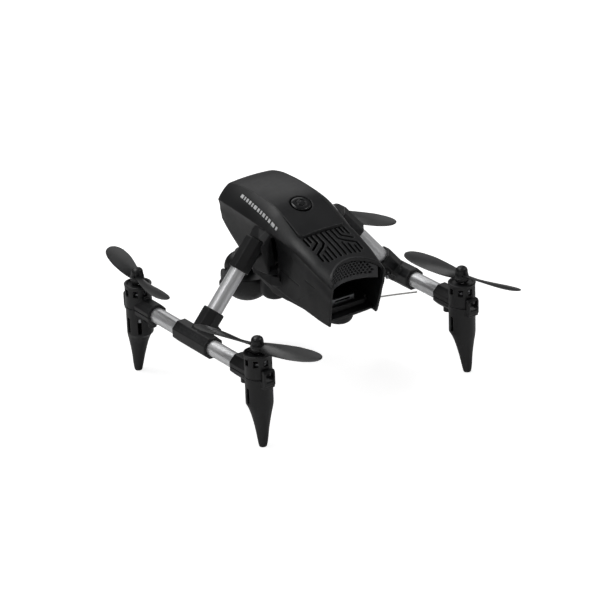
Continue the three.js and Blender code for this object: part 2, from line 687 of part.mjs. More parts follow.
// Blade section: chords towards the leading edge, thicknesses up
const BLADE_SECTION = [
  [0.5, 0.05], [0.3, 0.46], [0, 0.62], [-0.3, 0.36],
  [-0.5, -0.05], [-0.3, -0.3], [0, -0.2], [0.3, -0.24],
];

function blade([centreX, centreY], degrees, spin) {
  const heading = (degrees * Math.PI) / 180;
  const cos = Math.cos(heading);
  const sin = Math.sin(heading);
  const rings = BLADE.map(([radius, chord, twistDegrees, thickness, lift]) => {
    const twist = (twistDegrees * Math.PI) / 180;
    const coning = CONING * (radius / PROP_R) ** 1.3;
    return BLADE_SECTION.map(([forward, up]) => {
      const along = forward * chord;
      const above = up * thickness;
      const lead = (along * Math.cos(twist) - above * Math.sin(twist)) * spin;
      const rise = along * Math.sin(twist) + above * Math.cos(twist) + coning;
      return [
        centreX + radius * cos - lead * sin,
        centreY + radius * sin + lead * cos,
        PROP_Z + lift + rise,
      ];
    });
  });
  return loft(rings);
}
function propeller({ at, column }, degrees, spin) {
  const foot = at(0, 0, HUB_Z);
  return turned(foot, UP, HUB, 20)
    .add(blade(foot, degrees, spin))
    .add(blade(foot, degrees + 180, spin))
    .subtract(column(0, 48, 54.4, SHAFT_R + 0.25, 12));
}

// ---- camera under the nose ----
const BALL = [0, 45.8, 37.9];
const BALL_R = 13.8;
const TILT_Z = 36.2; // height of the tilt axis, which runs through the ball's y
const LENS = [0, 52.3, 40.3];
const LENS_AXIS = [0, 1, 0.12];
const NECK_R = 4.6;
const onTiltAxis = (x) => [x, BALL[1], TILT_Z];
const tiltHole = (side, innerX) => rod(onTiltAxis(side * innerX), onTiltAxis(side * 20), 1.75, 16);
function onLens(distance) {
  const unit = vector(LENS_AXIS).normalize().toArray();
  return LENS.map((value, k) => value + unit[k] * distance);
}

// Stalk from the underside of the nose to a round turntable.
function gimbalNeck(pan) {
  const centres = [[0, 34.6, 63.8], [0, 41, 55.4], [0, 34.6, 60.5]];
  const turntable = [[0, 7], [1, 7], [2, 5.2], [3.4, NECK_R]];
  const neck = hull(centres.flatMap((centre) => ring(centre, UP, NECK_R, 12)))
    .add(turned([0, 41, 52.6], UP, turntable, 20))
    .subtract(pan.translate([0, 0, -0.35]))
    .subtract(pan)
    .subtract(form.translate([0, 0, -0.3]));
  return largest(neck);
}

// Disc under the turntable, with a shoulder and an ear on each side.
const YOKE_SHOULDER = [
  [4, 37.5, 49.8], [4, 44.5, 49.8], [4, 37.5, 52], [4, 44.5, 52], [14.6, 34.6, 48],
  [14.6, 39.6, 47.4], [16.2, 34.6, 48], [16.2, 39.6, 47.4], [14.6, 35.4, 50.6],
  [14.6, 39.2, 50.4],
];
const EAR_ROOT = [[14.6, 34.6, 48.4], [16.2, 34.9, 48], [14.6, 39.6, 48.4], [16.2, 39.3, 48]];
const EAR_RINGS = [[14.6, 3.2], [16.2, 2.9]]; // x, radius
function gimbalYoke() {
  let yoke = turned([0, 42.5, 49.8], UP, [[0, 8], [2.4, 8]], 20);
  for (const side of [-1, 1]) {
    const earEnd = EAR_RINGS.flatMap(([x, radius]) =>
      ring([side * x, BALL[1] - 0.6, TILT_Z + 0.4], [1, 0, 0], radius, 14),
    );
    yoke = yoke
      .add(hull(onSide(side, YOKE_SHOULDER)))
      .add(hull([...onSide(side, EAR_ROOT), ...earEnd]))
      .subtract(tiltHole(side, 12));
  }
  return yoke;
}

// Ball cut level on top and flat at the sides and front, bored for the lens.
function cameraBall() {
  const sphere = new THREE.SphereGeometry(BALL_R, 24, 16).rotateX(Math.PI / 2);
  return solid(sphere.translate(...BALL))
    .subtract(box(-20, 20, 20, 70, 39.8, 60))
    .subtract(box(14.2, 20, 20, 70, 10, 60))
    .subtract(box(-20, -14.2, 20, 70, 10, 60))
    .subtract(box(-20, 20, 56.2, 70, 10, 60))
    .subtract(rod(onLens(-9.3), onLens(12), 7.5))
    .subtract(tiltHole(-1, 9))
    .subtract(tiltHole(1, 9));
}

// distance along the lens axis, radius
const BARREL = [[0, 4.2], [1.2, 5.9], [3.4, 7], [5.4, 7.2], [11.6, 7.2], [13.6, 6.6], [14.6, 5.6]];
const GLASS = [[0, 3.7], [0.8, 3.7], [1.6, 2.6], [1.9, 1.2]];
const lensBarrel = () =>
  turned(onLens(-9), LENS_AXIS, BARREL).subtract(rod(onLens(4), onLens(14), 4.1));

// ---- assembly ----
const pan = bellyPan();
addPiece("upper_shell", upperShell(), "shell");
addPiece("top_cover", topCover(), "shell");
addPiece("power_button", powerButton(), "shell");
addPiece("main_board", mainBoard(), "board");
addPiece("button_switch", buttonSwitch(), "steel");
addPiece("rear_grille", rearGrille(), "shell");
addPiece("bay_tray", bayTray(), "dark");
addPiece("bay_contacts", bayContacts(), "copper");
addPiece("bay_latch", bayLatch(), "steel");
addPiece("belly_pan", pan, "shell");
addPiece("floor_sensor", upright(0, SENSOR_Y, 40, 41.3, 2.9, 20), "glass");
addPiece("antenna_wire", antennaWire(), "wire");
for (const [tag, side] of SIDES) {
  addPiece(`arm_socket_${tag}`, armSocket(side), "frame");
  addPiece(`arm_tube_${tag}`, armTube(side), "alu");
  addPiece(`t_joint_${tag}`, tJoint(side), "frame");
  addPiece(`t_screw_${tag}`, tScrew(side), "steel");
  addPiece(`boom_tube_${tag}`, boomTube(side), "alu");
}
for (const [tag, xSign, ySign, degrees, spin] of CORNERS) {
  const frame = cornerFrame(xSign, ySign);
  addPiece(`bracket_${tag}`, cornerBracket(frame), "frame");
  addPiece(`leg_${tag}`, cornerLeg(frame), "frame");
  addPiece(`screw_${tag}`, frame.column(LEG_SCREW_Y, 29.3, 32, 1.05, 12), "steel");
  addPiece(`motor_${tag}`, motorCan(frame), "steel");
  addPiece(`shaft_${tag}`, frame.column(0, 45.5, 54, SHAFT_R, 10), "steel");
  addPiece(`prop_${tag}`, propeller(frame, degrees, spin), "prop");
}
addPiece("gimbal_neck", gimbalNeck(pan), "frame");
addPiece("gimbal_yoke", gimbalYoke(), "frame");
addPiece("camera_ball", cameraBall(), "frame");
addPiece("lens_barrel", lensBarrel(), "dark");
addPiece("lens_glass", turned(onLens(4.3), LENS_AXIS, GLASS), "glass");
for (const [tag, side] of SIDES) {
  const pin = rod(onTiltAxis(side * 9.4), onTiltAxis(side * 16.4), 1.4, 16);
  addPiece(`tilt_pin_${tag}`, pin, "steel");
}

export default root;
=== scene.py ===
"""A small four-rotor drone: a body on two sloping arms, a boom along each side, a camera below.

It stands on z = 0 with its nose towards +Y and its left side towards -X. Meshes are made in
millimetres, and piece() scales them to the frame's metres.
"""
import math

import bmesh
import bpy
import numpy as np
from mathutils import Matrix, Vector


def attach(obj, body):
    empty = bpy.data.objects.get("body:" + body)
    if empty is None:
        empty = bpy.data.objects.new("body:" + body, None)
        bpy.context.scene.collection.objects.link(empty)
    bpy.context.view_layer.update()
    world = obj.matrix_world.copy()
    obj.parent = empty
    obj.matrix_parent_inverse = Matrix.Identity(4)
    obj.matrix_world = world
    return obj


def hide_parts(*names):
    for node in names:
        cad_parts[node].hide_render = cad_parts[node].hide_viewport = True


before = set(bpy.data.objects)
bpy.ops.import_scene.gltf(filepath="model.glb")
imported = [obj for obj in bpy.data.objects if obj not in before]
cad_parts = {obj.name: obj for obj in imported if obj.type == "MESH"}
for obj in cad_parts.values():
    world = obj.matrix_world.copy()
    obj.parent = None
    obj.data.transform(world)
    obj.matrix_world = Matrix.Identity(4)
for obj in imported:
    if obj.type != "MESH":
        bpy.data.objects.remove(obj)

scene = bpy.context.scene
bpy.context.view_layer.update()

# ---------------------------------------------------------------------------
# Driving dimensions, millimetres
# ---------------------------------------------------------------------------
SIDES = (-1, 1)  # left, right
UP = (0, 0, 1)
GAP = 0.3
MOTOR_X, MOTOR_Y = 62.7, 52.0

# Booms and arms: round tubes held in eight-sided collars
BOOM_Z = 37.0
TUBE_R, TUBE_BORE = 4.0, 3.2
TUBE_HOLE_R = TUBE_R + GAP * 0.5
BOOM_INSET = 7.6  # from the motor axis to the end of the tube
COLLAR_R, COLLAR_IN, TJOINT_HALF = 5.95, 16.8, 14.1
ARM_DX, ARM_DZ = -0.657, 0.754  # direction of the right arm
ARM_Y, ARM_Z = 0.3, 36
SOCKET_START, SOCKET_END, STEM_END = 40.2, 57.6, 17.0  # distances along the arm
ARM_END = SOCKET_START + 14
SOCKET_R = 5.65

# Corners and rotors
HOUSING_R, RIM_Z, SPLIT_Z = 6.8, 49.2, BOOM_Z
CAN_R, CAN_Z, SHAFT_R = 4.25, 28.2, 0.5
PROP_R, PROP_Z, CONING, HUB_Z = 37.0, 52.2, 2.2, 49.4

# Body
NOSE_Y, TAIL_Y, NOSE_R = 40.0, -50.3, 0.55
WALL, COVER_HALF, COVER_T, LIP_Y = 1.5, 13.4, 1.5, -21.35
BUTTON_R = 5.2
BUTTON_C = np.array([0, -3.9, 93.35])
BUTTON_N = np.array([0, -0.285, 0.9585])
NOTCH_Y, NOTCH_R, BAY_ROOF_Z = -61.3, 19.5, 65.2

# Camera
BALL, BALL_R = np.array([0, 45.8, 37.9]), 13.8
LENS = np.array([0, 52.3, 40.3])
TILT_Z, TILT_HOLE_R = 36.2, 1.75


# ---------------------------------------------------------------------------
# Curves and vectors
# ---------------------------------------------------------------------------
def unit(vector):
    vector = np.asarray(vector, float)
    return vector / np.linalg.norm(vector)


def lerp(start, end, share):
    return start + (end - start) * share


def smoothstep(share):
    share = min(1.0, max(0.0, share))
    return share * share * (3 - 2 * share)


def smooth_curve(places, values):
    """A monotone cubic through the points, held level past both ends."""
    places, values = np.asarray(places, float), np.asarray(values, float)
    if places[0] > places[-1]:
        places, values = places[::-1], values[::-1]
    gaps = np.diff(places)
    slopes = np.diff(values) / gaps
    tangents = np.zeros(len(places))
    for i in range(1, len(places) - 1):
        before, after = slopes[i - 1], slopes[i]
        if before * after > 0:
            weight0 = 2 * gaps[i] + gaps[i - 1]
            weight1 = gaps[i] + 2 * gaps[i - 1]
            tangents[i] = (weight0 + weight1) / (weight0 / before + weight1 / after)

    def end_tangent(gap0, gap1, slope0, slope1):
        tangent = ((2 * gap0 + gap1) * slope0 - gap0 * slope1) / (gap0 + gap1)
        if tangent * slope0 <= 0:
            return 0.0
        if slope0 * slope1 <= 0 and abs(tangent) > 3 * abs(slope0):
            return 3 * slope0
        return tangent

    tangents[0] = end_tangent(gaps[0], gaps[1], slopes[0], slopes[1])
    tangents[-1] = end_tangent(gaps[-1], gaps[-2], slopes[-1], slopes[-2])

    def at(place):
        place = np.clip(np.asarray(place, float), places[0], places[-1])
        k = np.clip(np.searchsorted(places, place) - 1, 0, len(places) - 2)
        t = (place - places[k]) / gaps[k]
        return (
            (2 * t**3 - 3 * t**2 + 1) * values[k]
            + (t**3 - 2 * t**2 + t) * gaps[k] * tangents[k]
            + (-2 * t**3 + 3 * t**2) * values[k + 1]
            + (t**3 - t**2) * gaps[k] * tangents[k + 1]
        )

    return at


def table_curves(table):
    """One curve for each column after the first, over the first."""
    return [smooth_curve(table[:, 0], column) for column in table.T[1:]]


# ---------------------------------------------------------------------------
# Solids: each is a mesh that is one closed surface
# ---------------------------------------------------------------------------
def mesh_of(verts, faces):
    mesh = bpy.data.meshes.new("solid")
    mesh.from_pydata([tuple(map(float, vert)) for vert in verts], [], faces)
    mesh.update()
    return mesh


def closed(verts, faces):
    """A mesh whose faces look outward, which makes its signed volume positive."""
    points = np.asarray(verts, float)
    volume = 0.0
    for face in faces:
        apex = points[face[0]]
        for i in range(1, len(face) - 1):
            volume += np.dot(apex, np.cross(points[face[i]], points[face[i + 1]]))
    if volume <= 0:
        faces = [tuple(reversed(face)) for face in faces]
    return mesh_of(verts, faces)


def bridge(first, second, sides):
    """Faces between two rings, given by their numbers."""
    first, second = first * sides, second * sides
    faces = []
    for i in range(sides):
        j = (i + 1) % sides
        faces.append((first + i, first + j, second + j, second + i))
    return faces


def loft(rings):
    sides = len(rings[0])
    verts = [point for points in rings for point in points]
    faces = []
    for k in range(len(rings) - 1):
        faces += bridge(k, k + 1, sides)
    centre = len(verts)
    last = centre - sides
    verts += [np.mean(np.array(rings[0]), axis=0), np.mean(np.array(rings[-1]), axis=0)]
    for i in range(sides):
        j = (i + 1) % sides
        faces += [(centre, j, i), (centre + 1, last + i, last + j)]
    return closed(verts, faces)


def ring(centre, axis, radius, sides, start=0.0):
    axis = unit(axis)
    across = np.cross([0, 0, 1], axis)
    if np.linalg.norm(across) < 1e-6:
        across = np.cross([1, 0, 0], axis)
    across = unit(across)
    other = np.cross(axis, across)
    angle = start + 2 * math.pi * np.arange(sides) / sides
    circle = np.outer(np.cos(angle), across) + np.outer(np.sin(angle), other)
    return np.asarray(centre, float) + radius * circle


def rod(start, end, radius, sides=48, turn=0.0):
    axis = np.asarray(end, float) - np.asarray(start, float)
    return loft([ring(start, axis, radius, sides, turn), ring(end, axis, radius, sides, turn)])


def post(z0, z1, radius, sides=48, x=0, y=0):
    return rod((x, y, z0), (x, y, z1), radius, sides)


def lathe(base, axis, profile, sides=64):
    """A turned solid; the profile holds (height, radius) pairs."""
    axis = unit(axis)
    base = np.asarray(base, float)
    return loft([ring(base + axis * h, axis, max(radius, 0.01), sides) for h, radius in profile])


def octagon(start, end, radius, chamfer=0.0):
    turn = math.pi / 8
    if chamfer == 0:
        return rod(start, end, radius, 8, turn)
    start, end = np.asarray(start, float), np.asarray(end, float)
    axis = unit(end - start)
    rows = [
        (start, radius - chamfer), (start + axis * chamfer, radius),
        (end - axis * chamfer, radius), (end, radius - chamfer),
    ]
    return loft([ring(centre, axis, size, 8, turn) for centre, size in rows])


def tube(start, end, outer, bore, sides=72):
    """A pipe with slightly broken edges."""
    start, end = np.asarray(start, float), np.asarray(end, float)
    length = np.linalg.norm(end - start)
    axis = unit(end - start)
    edge = 0.15
    profile = [
        (0, bore + 0.1), (0, outer - edge), (edge, outer), (length * 0.25, outer),
        (length * 0.5, outer), (length * 0.75, outer), (length - edge, outer),
        (length, outer - edge), (length, bore + 0.1), (length - 0.1, bore), (0.1, bore),
    ]
    verts, faces = [], []
    for k, (height, radius) in enumerate(profile):
        verts += list(ring(start + axis * height, axis, radius, sides))
        faces += bridge(k, (k + 1) % len(profile), sides)
    return closed(verts, faces)


def bar_along(points, radius, sides=16):
    """A round bar that follows a run of points."""
    points = np.array(points, float)
    tangents = np.gradient(points, axis=0)
    tangents /= np.linalg.norm(tangents, axis=1)[:, None]
    reference = [0, 0, 1] if abs(tangents[0][2]) < 0.9 else [1, 0, 0]
    across = unit(np.cross(tangents[0], reference))
    angle = 2 * math.pi * np.arange(sides) / sides
    rings = []
    for point, tangent in zip(points, tangents):
        across = unit(across - tangent * np.dot(across, tangent))
        other = np.cross(tangent, across)
        circle = np.outer(np.cos(angle), across) + np.outer(np.sin(angle), other)
        rings.append(point + radius * circle)
    return loft(rings)


def box(x0, x1, y0, y1, z0, z1):
    verts = [(x, y, z) for x in (x0, x1) for y in (y0, y1) for z in (z0, z1)]
    return closed(verts, [
        (0, 1, 3, 2), (4, 6, 7, 5), (0, 4, 5, 1), (2, 3, 7, 6), (0, 2, 6, 4), (1, 5, 7, 3),
    ])


def hull(points):
    work = bmesh.new()
    for point in points:
        work.verts.new(tuple(map(float, point)))
    bmesh.ops.convex_hull(work, input=work.verts[:], use_existing_faces=False)
    loose = [vert for vert in work.verts if not vert.link_faces]
    bmesh.ops.delete(work, geom=loose, context="VERTS")
    bmesh.ops.recalc_face_normals(work, faces=work.faces[:])
    mesh = bpy.data.meshes.new("hull")
    work.to_mesh(mesh)
    work.free()
    return mesh


def sided(side, points):
    """Points given for the right side, put on either side."""
    return [(side * x, y, z) for x, y, z in points]


def hull_across(half, outline):
    """The hull of a (y, z) outline carried from -half to half in x."""
    return hull([(x, y, z) for x in (-half, half) for y, z in outline])


def spoke(angle, x0, x1, width, z0, z1):
    """A box along x, turned about the z axis."""
    cos, sin = math.cos(angle), math.sin(angle)
    return hull([
        (cos * x - sin * y, sin * x + cos * y, z)
        for x in (x0, x1) for y in (-width / 2, width / 2) for z in (z0, z1)
    ])


def prism(outline, z0, z1):
    n = len(outline)
    verts = [(x, y, z) for z in (z0, z1) for x, y in outline]
    faces = [tuple(range(n)), tuple(range(n, 2 * n))[::-1]]
    faces += [(i, n + i, n + (i + 1) % n, (i + 1) % n) for i in range(n)]
    return closed(verts, faces)


def moved(mesh, matrix):
    out = mesh.copy()
    out.transform(matrix)
    if matrix.determinant() < 0:
        out.flip_normals()
    return out


def lowered(mesh, depth):
    return moved(mesh, Matrix.Translation((0, 0, -depth)))


def joined(solids):
    """Several solids that don't touch, as one mesh."""
    verts, faces = [], []
    for mesh in solids:
        base = len(verts)
        verts += [tuple(vert.co) for vert in mesh.vertices]
        faces += [tuple(base + i for i in face.vertices) for face in mesh.polygons]
    return mesh_of(verts, faces)


def temp_object(mesh):
    holder = bpy.data.objects.new("temp", mesh)
    scene.collection.objects.link(holder)
    return holder


def baked(holder, tools=()):
    """The mesh a temporary object's modifiers give; the temporary objects go."""
    bpy.context.view_layer.update()
    graph = bpy.context.evaluated_depsgraph_get()
    mesh = bpy.data.meshes.new_from_object(holder.evaluated_get(graph), depsgraph=graph)
    for temp in (holder, *tools):
        bpy.data.objects.remove(temp)
    return mesh


def add(*solids):
    return "UNION", solids


def cut(*solids):
    return "DIFFERENCE", solids


def within(*solids):
    return "INTERSECT", solids


def combine(base, *steps):
    """Applies add, cut and within steps to a solid, in the order given."""
    holder = temp_object(base)
    tools = []
    for operation, solids in steps:
        for solid in solids:
            tool = temp_object(solid)
            tools.append(tool)
            boolean = holder.modifiers.new("cut", "BOOLEAN")
            boolean.operation = operation
            boolean.object = tool
            boolean.solver = "MANIFOLD"
    return baked(holder, tools)


def largest(mesh):
    """The connected part with the largest area."""
    work = bmesh.new()
    work.from_mesh(mesh)
    seen, groups = set(), []
    for first in work.faces:
        if first in seen:
            continue
        seen.add(first)
        stack, group = [first], []
        while stack:
            face = stack.pop()
            group.append(face)
            for edge in face.edges:
                for other in edge.link_faces:
                    if other not in seen:
                        seen.add(other)
                        stack.append(other)
        groups.append(group)
    if len(groups) > 1:
        groups.sort(key=lambda group: -sum(face.calc_area() for face in group))
        rest = [face for group in groups[1:] for face in group]
        bmesh.ops.delete(work, geom=rest, context="FACES")
    out = bpy.data.meshes.new("largest")
    work.to_mesh(out)
    work.free()
    return out


def soften(mesh, voxel, rounds, keep):
    """Turns a hard-edged solid into a moulded one: its edges get a small even radius."""
    holder = temp_object(mesh)
    remesh = holder.modifiers.new("remesh", "REMESH")
    remesh.mode = "VOXEL"
    remesh.voxel_size = voxel
    remesh.use_smooth_shade = True
    smooth = holder.modifiers.new("round", "SMOOTH")
    smooth.factor = 0.5
    smooth.iterations = rounds
    thin = holder.modifiers.new("thin", "DECIMATE")
    thin.ratio = keep
    return baked(holder)


# ---------------------------------------------------------------------------
# Materials
# ---------------------------------------------------------------------------
class Graph:
    """A short hand for building node trees."""

    def __init__(self, tree):
        self.tree = tree
        tree.nodes.clear()

    def add(self, kind, **settings):
        node = self.tree.nodes.new(kind)
        for key, value in settings.items():
            setattr(node, key, value)
        return node

    def put(self, node, key, value):
        """Links a socket to an input, or sets the input's value."""
        if isinstance(value, bpy.types.NodeSocket):
            self.tree.links.new(value, node.inputs[key])
        else:
            node.inputs[key].default_value = value

    def ramp(self, value, start=0.3, end=0.7, low=0.0, high=1.0):
        """Maps start..end to low..high."""
        node = self.add("ShaderNodeMapRange", clamp=True)
        keys = ("Value", "From Min", "From Max", "To Min", "To Max")
        for key, setting in zip(keys, (value, start, end, low, high)):
            self.put(node, key, setting)
        return node.outputs[0]

    def mix(self, share, first, second):
        """Mixes two colours, each an RGB tuple or a socket."""
        node = self.add("ShaderNodeMix", data_type="RGBA")
        for key, value in ((0, share), (6, first), (7, second)):
            self.put(node, key, (*value, 1.0) if isinstance(value, tuple) else value)
        return node.outputs[2]


class Look(Graph):
    """A material round one Principled shader, textured in object space."""

    def __init__(self, name):
        self.material = bpy.data.materials.new(name)
        self.material.use_nodes = True
        super().__init__(self.material.node_tree)
        output = self.add("ShaderNodeOutputMaterial")
        self.bsdf = self.add("ShaderNodeBsdfPrincipled")
        self.put(output, 0, self.bsdf.outputs[0])
        self.place = self.add("ShaderNodeTexCoord").outputs["Object"]

    def set(self, key, value):
        self.put(self.bsdf, key, value)

    def calc(self, operation, first, second):
        node = self.add("ShaderNodeMath", operation=operation)
        for i, value in enumerate((first, second, 0.0)):
            self.put(node, i, value)
        return node.outputs[0]

    def vector(self, operation, first, second=(0, 0, 0)):
        node = self.add("ShaderNodeVectorMath", operation=operation)
        self.put(node, 0, first)
        self.put(node, 1, second)
        return node

    def noise(self, scale, detail=2.0, rough=0.5, at=None):
        node = self.add("ShaderNodeTexNoise")
        self.put(node, "Vector", at or self.place)
        self.put(node, "Scale", scale)
        self.put(node, "Detail", detail)
        self.put(node, "Roughness", rough)
        return node.outputs[0]

    def bump(self, height, strength, distance):
        node = self.add("ShaderNodeBump")
        self.put(node, "Height", height)
        self.put(node, "Strength", strength)
        self.put(node, "Distance", distance)
        self.set("Normal", node.outputs[0])


def shade(colour, factor):
    return tuple(part * factor for part in colour)


def plastic(name, base, worn, rough, grain, grain_scale=1700.0):
    """Moulded plastic: a fine grain, slow changes of tone and sheen, paler rubbed edges."""
    look = Look(name)
    slow = look.noise(scale=55.0, detail=3.0)
    fine = look.noise(scale=grain_scale, rough=0.6)
    dust = look.noise(scale=420.0, detail=4.0, rough=0.65)
    tone = look.mix(look.ramp(slow), shade(base, 0.86), shade(base, 1.14))
    pointiness = look.add("ShaderNodeNewGeometry").outputs["Pointiness"]
    edge = look.ramp(pointiness, start=0.515, end=0.60)
    rub = look.calc("MULTIPLY", edge, look.ramp(dust, start=0.35, end=0.75, low=0.35))
    look.set("Base Color", look.mix(rub, tone, worn))
    sheen = look.ramp(slow, low=rough - 0.05, high=rough + 0.05)
    look.set("Roughness", look.calc("ADD", sheen, look.ramp(dust, low=-0.03, high=0.03)))
    look.set("Specular IOR Level", 0.5)
    look.bump(fine, strength=grain, distance=0.00006)
    return look.material


def aluminium(name, axis):
    """Drawn tube: fine scratches that run along the axis."""
    look = Look(name)
    axis = tuple(float(part) for part in unit(axis))
    along = look.vector("DOT_PRODUCT", look.place, axis).outputs[1]
    # taking away most of the axial part stretches the noise along the tube
    axial = look.vector("SCALE", axis)
    look.put(axial, "Scale", look.calc("MULTIPLY", along, 0.975))
    squeezed = look.vector("SUBTRACT", look.place, axial.outputs[0]).outputs[0]
    streak = look.noise(scale=2600.0, detail=3.0, rough=0.6, at=squeezed)
    broad = look.noise(scale=500.0, at=squeezed)
    slow = look.noise(scale=70.0)
    look.set("Base Color", look.mix(look.ramp(streak), (0.90, 0.905, 0.92), (0.97, 0.972, 0.98)))
    look.set("Metallic", look.ramp(slow, start=0.2, end=0.8, low=0.66, high=0.76))
    scratch = look.ramp(streak, start=0.25, end=0.75, low=0.30, high=0.44)
    look.set("Roughness", look.calc("ADD", scratch, look.ramp(broad, low=-0.04, high=0.04)))
    look.bump(streak, strength=0.10, distance=0.00003)
    return look.material


def steel(name, base, rough):
    look = Look(name)
    fine = look.noise(scale=1800.0, detail=3.0, rough=0.6)
    slow = look.noise(scale=90.0, detail=3.0)
    look.set("Base Color", look.mix(look.ramp(slow), shade(base, 0.85), shade(base, 1.12)))
    look.set("Metallic", look.ramp(slow, start=0.2, end=0.8, low=0.92, high=1.0))
    sheen = look.ramp(fine, start=0.25, end=0.75, low=rough - 0.07, high=rough + 0.1)
    look.set("Roughness", sheen)
    look.bump(fine, strength=0.08, distance=0.00003)
    return look.material


def coated_glass(name):
    """Coated lens: near black with a violet tinge that turns with the angle."""
    look = Look(name)
    facing = look.add("ShaderNodeLayerWeight")
    look.put(facing, "Blend", 0.35)
    smudge = look.noise(scale=260.0, detail=3.0)
    tinge = look.ramp(facing.outputs[1], start=0.0, end=0.8)
    look.set("Base Color", look.mix(tinge, (0.012, 0.014, 0.028), (0.05, 0.02, 0.10)))
    look.set("Roughness", look.ramp(smudge, start=0.3, end=0.8, low=0.03, high=0.10))
    look.set("Specular IOR Level", 0.7)
    look.set("Coat Weight", 1.0)
    look.set("Coat Roughness", 0.02)
    return look.material


def board_green(name):
    """Circuit board: green with paler traces along cell borders."""
    look = Look(name)
    cell = look.add("ShaderNodeTexVoronoi", feature="DISTANCE_TO_EDGE")
    look.put(cell, "Vector", look.place)
    look.put(cell, "Scale", 420.0)
    trace = look.ramp(cell.outputs[0], start=0.02, end=0.05, low=1.0, high=0.0)
    slow = look.noise(scale=80.0)
    green = look.mix(look.ramp(slow), (0.010, 0.055, 0.024), (0.016, 0.08, 0.035))
    look.set("Base Color", look.mix(trace, green, (0.03, 0.16, 0.07)))
    look.set("Roughness", look.ramp(slow, low=0.3, high=0.42))
    look.bump(trace, strength=0.25, distance=0.00004)
    return look.material


def pale_wire(name):
    look = Look(name)
    slow = look.noise(scale=260.0, detail=3.0)
    look.set("Base Color", look.mix(look.ramp(slow), (0.60, 0.59, 0.57), (0.78, 0.77, 0.75)))
    look.set("Roughness", look.ramp(slow, low=0.4, high=0.55))
    look.bump(slow, strength=0.05, distance=0.00003)
    return look.material


def white_ink(name):
    """Printed paint: slightly uneven cover, a little worn."""
    look = Look(name)
    slow = look.noise(scale=900.0, detail=3.0)
    cover = look.ramp(slow, start=0.35)
    look.set("Base Color", look.mix(cover, (0.62, 0.63, 0.64), (0.86, 0.86, 0.86)))
    look.set("Roughness", look.ramp(slow, low=0.4, high=0.55))
    return look.material


# key: name, base colour, rubbed-edge colour, roughness, grain
PLASTICS = {
    "shell": ("shell_satin", (0.0105, 0.0108, 0.0118), (0.030, 0.031, 0.033), 0.44, 0.10),
    "cover": ("cover_satin", (0.0110, 0.0113, 0.0125), (0.034, 0.035, 0.037), 0.40, 0.10),
    "grille": ("grille_satin", (0.050, 0.051, 0.054), (0.110, 0.112, 0.116), 0.40, 0.08),
    "frame": ("frame_satin", (0.0100, 0.0102, 0.0110), (0.030, 0.031, 0.033), 0.40, 0.12),
    "button": ("button_gloss", (0.0085, 0.0087, 0.0095), (0.026, 0.027, 0.029), 0.19, 0.03),
    "bay": ("bay_matt", (0.0060, 0.0060, 0.0066), (0.014, 0.014, 0.015), 0.55, 0.10),
    "prop": ("prop_gloss", (0.0120, 0.0122, 0.0130), (0.026, 0.026, 0.028), 0.33, 0.04, 900.0),
    "lens": ("lens_black", (0.0060, 0.0060, 0.0065), (0.016, 0.016, 0.017), 0.38, 0.05),
}
MATERIALS = {key: plastic(*row) for key, row in PLASTICS.items()}
MATERIALS.update({
    "glass": coated_glass("lens_glass_coated"),
    "steel": steel("steel_satin", base=(0.52, 0.53, 0.55), rough=0.30),
    "dark_steel": steel("steel_dark", base=(0.16, 0.165, 0.17), rough=0.36),
    "brass": steel("contact_brass", base=(0.72, 0.50, 0.22), rough=0.28),
    "board": board_green("board_mask"),
    "wire": pale_wire("wire_sleeve"),
    "ink": white_ink("white_ink"),
    "boom": aluminium("tube_boom", axis=(0, 1, 0)),
    "arm_left": aluminium("tube_arm_left", axis=(-ARM_DX, 0, ARM_DZ)),
    "arm_right": aluminium("tube_arm_right", axis=(ARM_DX, 0, ARM_DZ)),
})


def piece(name, mesh, material, body, slot, *replaces, angle=None):
    """Puts a finished mesh, made in millimetres, into the frame."""
    mesh = mesh.copy()
    mesh.transform(Matrix.Scale(0.001, 4))
    mesh.name = name
    mesh.materials.clear()
    mesh.materials.append(MATERIALS[material])
    mesh.polygons.foreach_set("use_smooth", [True] * len(mesh.polygons))
    if angle is not None:
        mesh.set_sharp_from_angle(angle=math.radians(angle))
    made = bpy.data.objects.new(name, mesh)
    scene.collection.objects.link(made)
    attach(made, body)
    if replaces:
        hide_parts(*replaces)


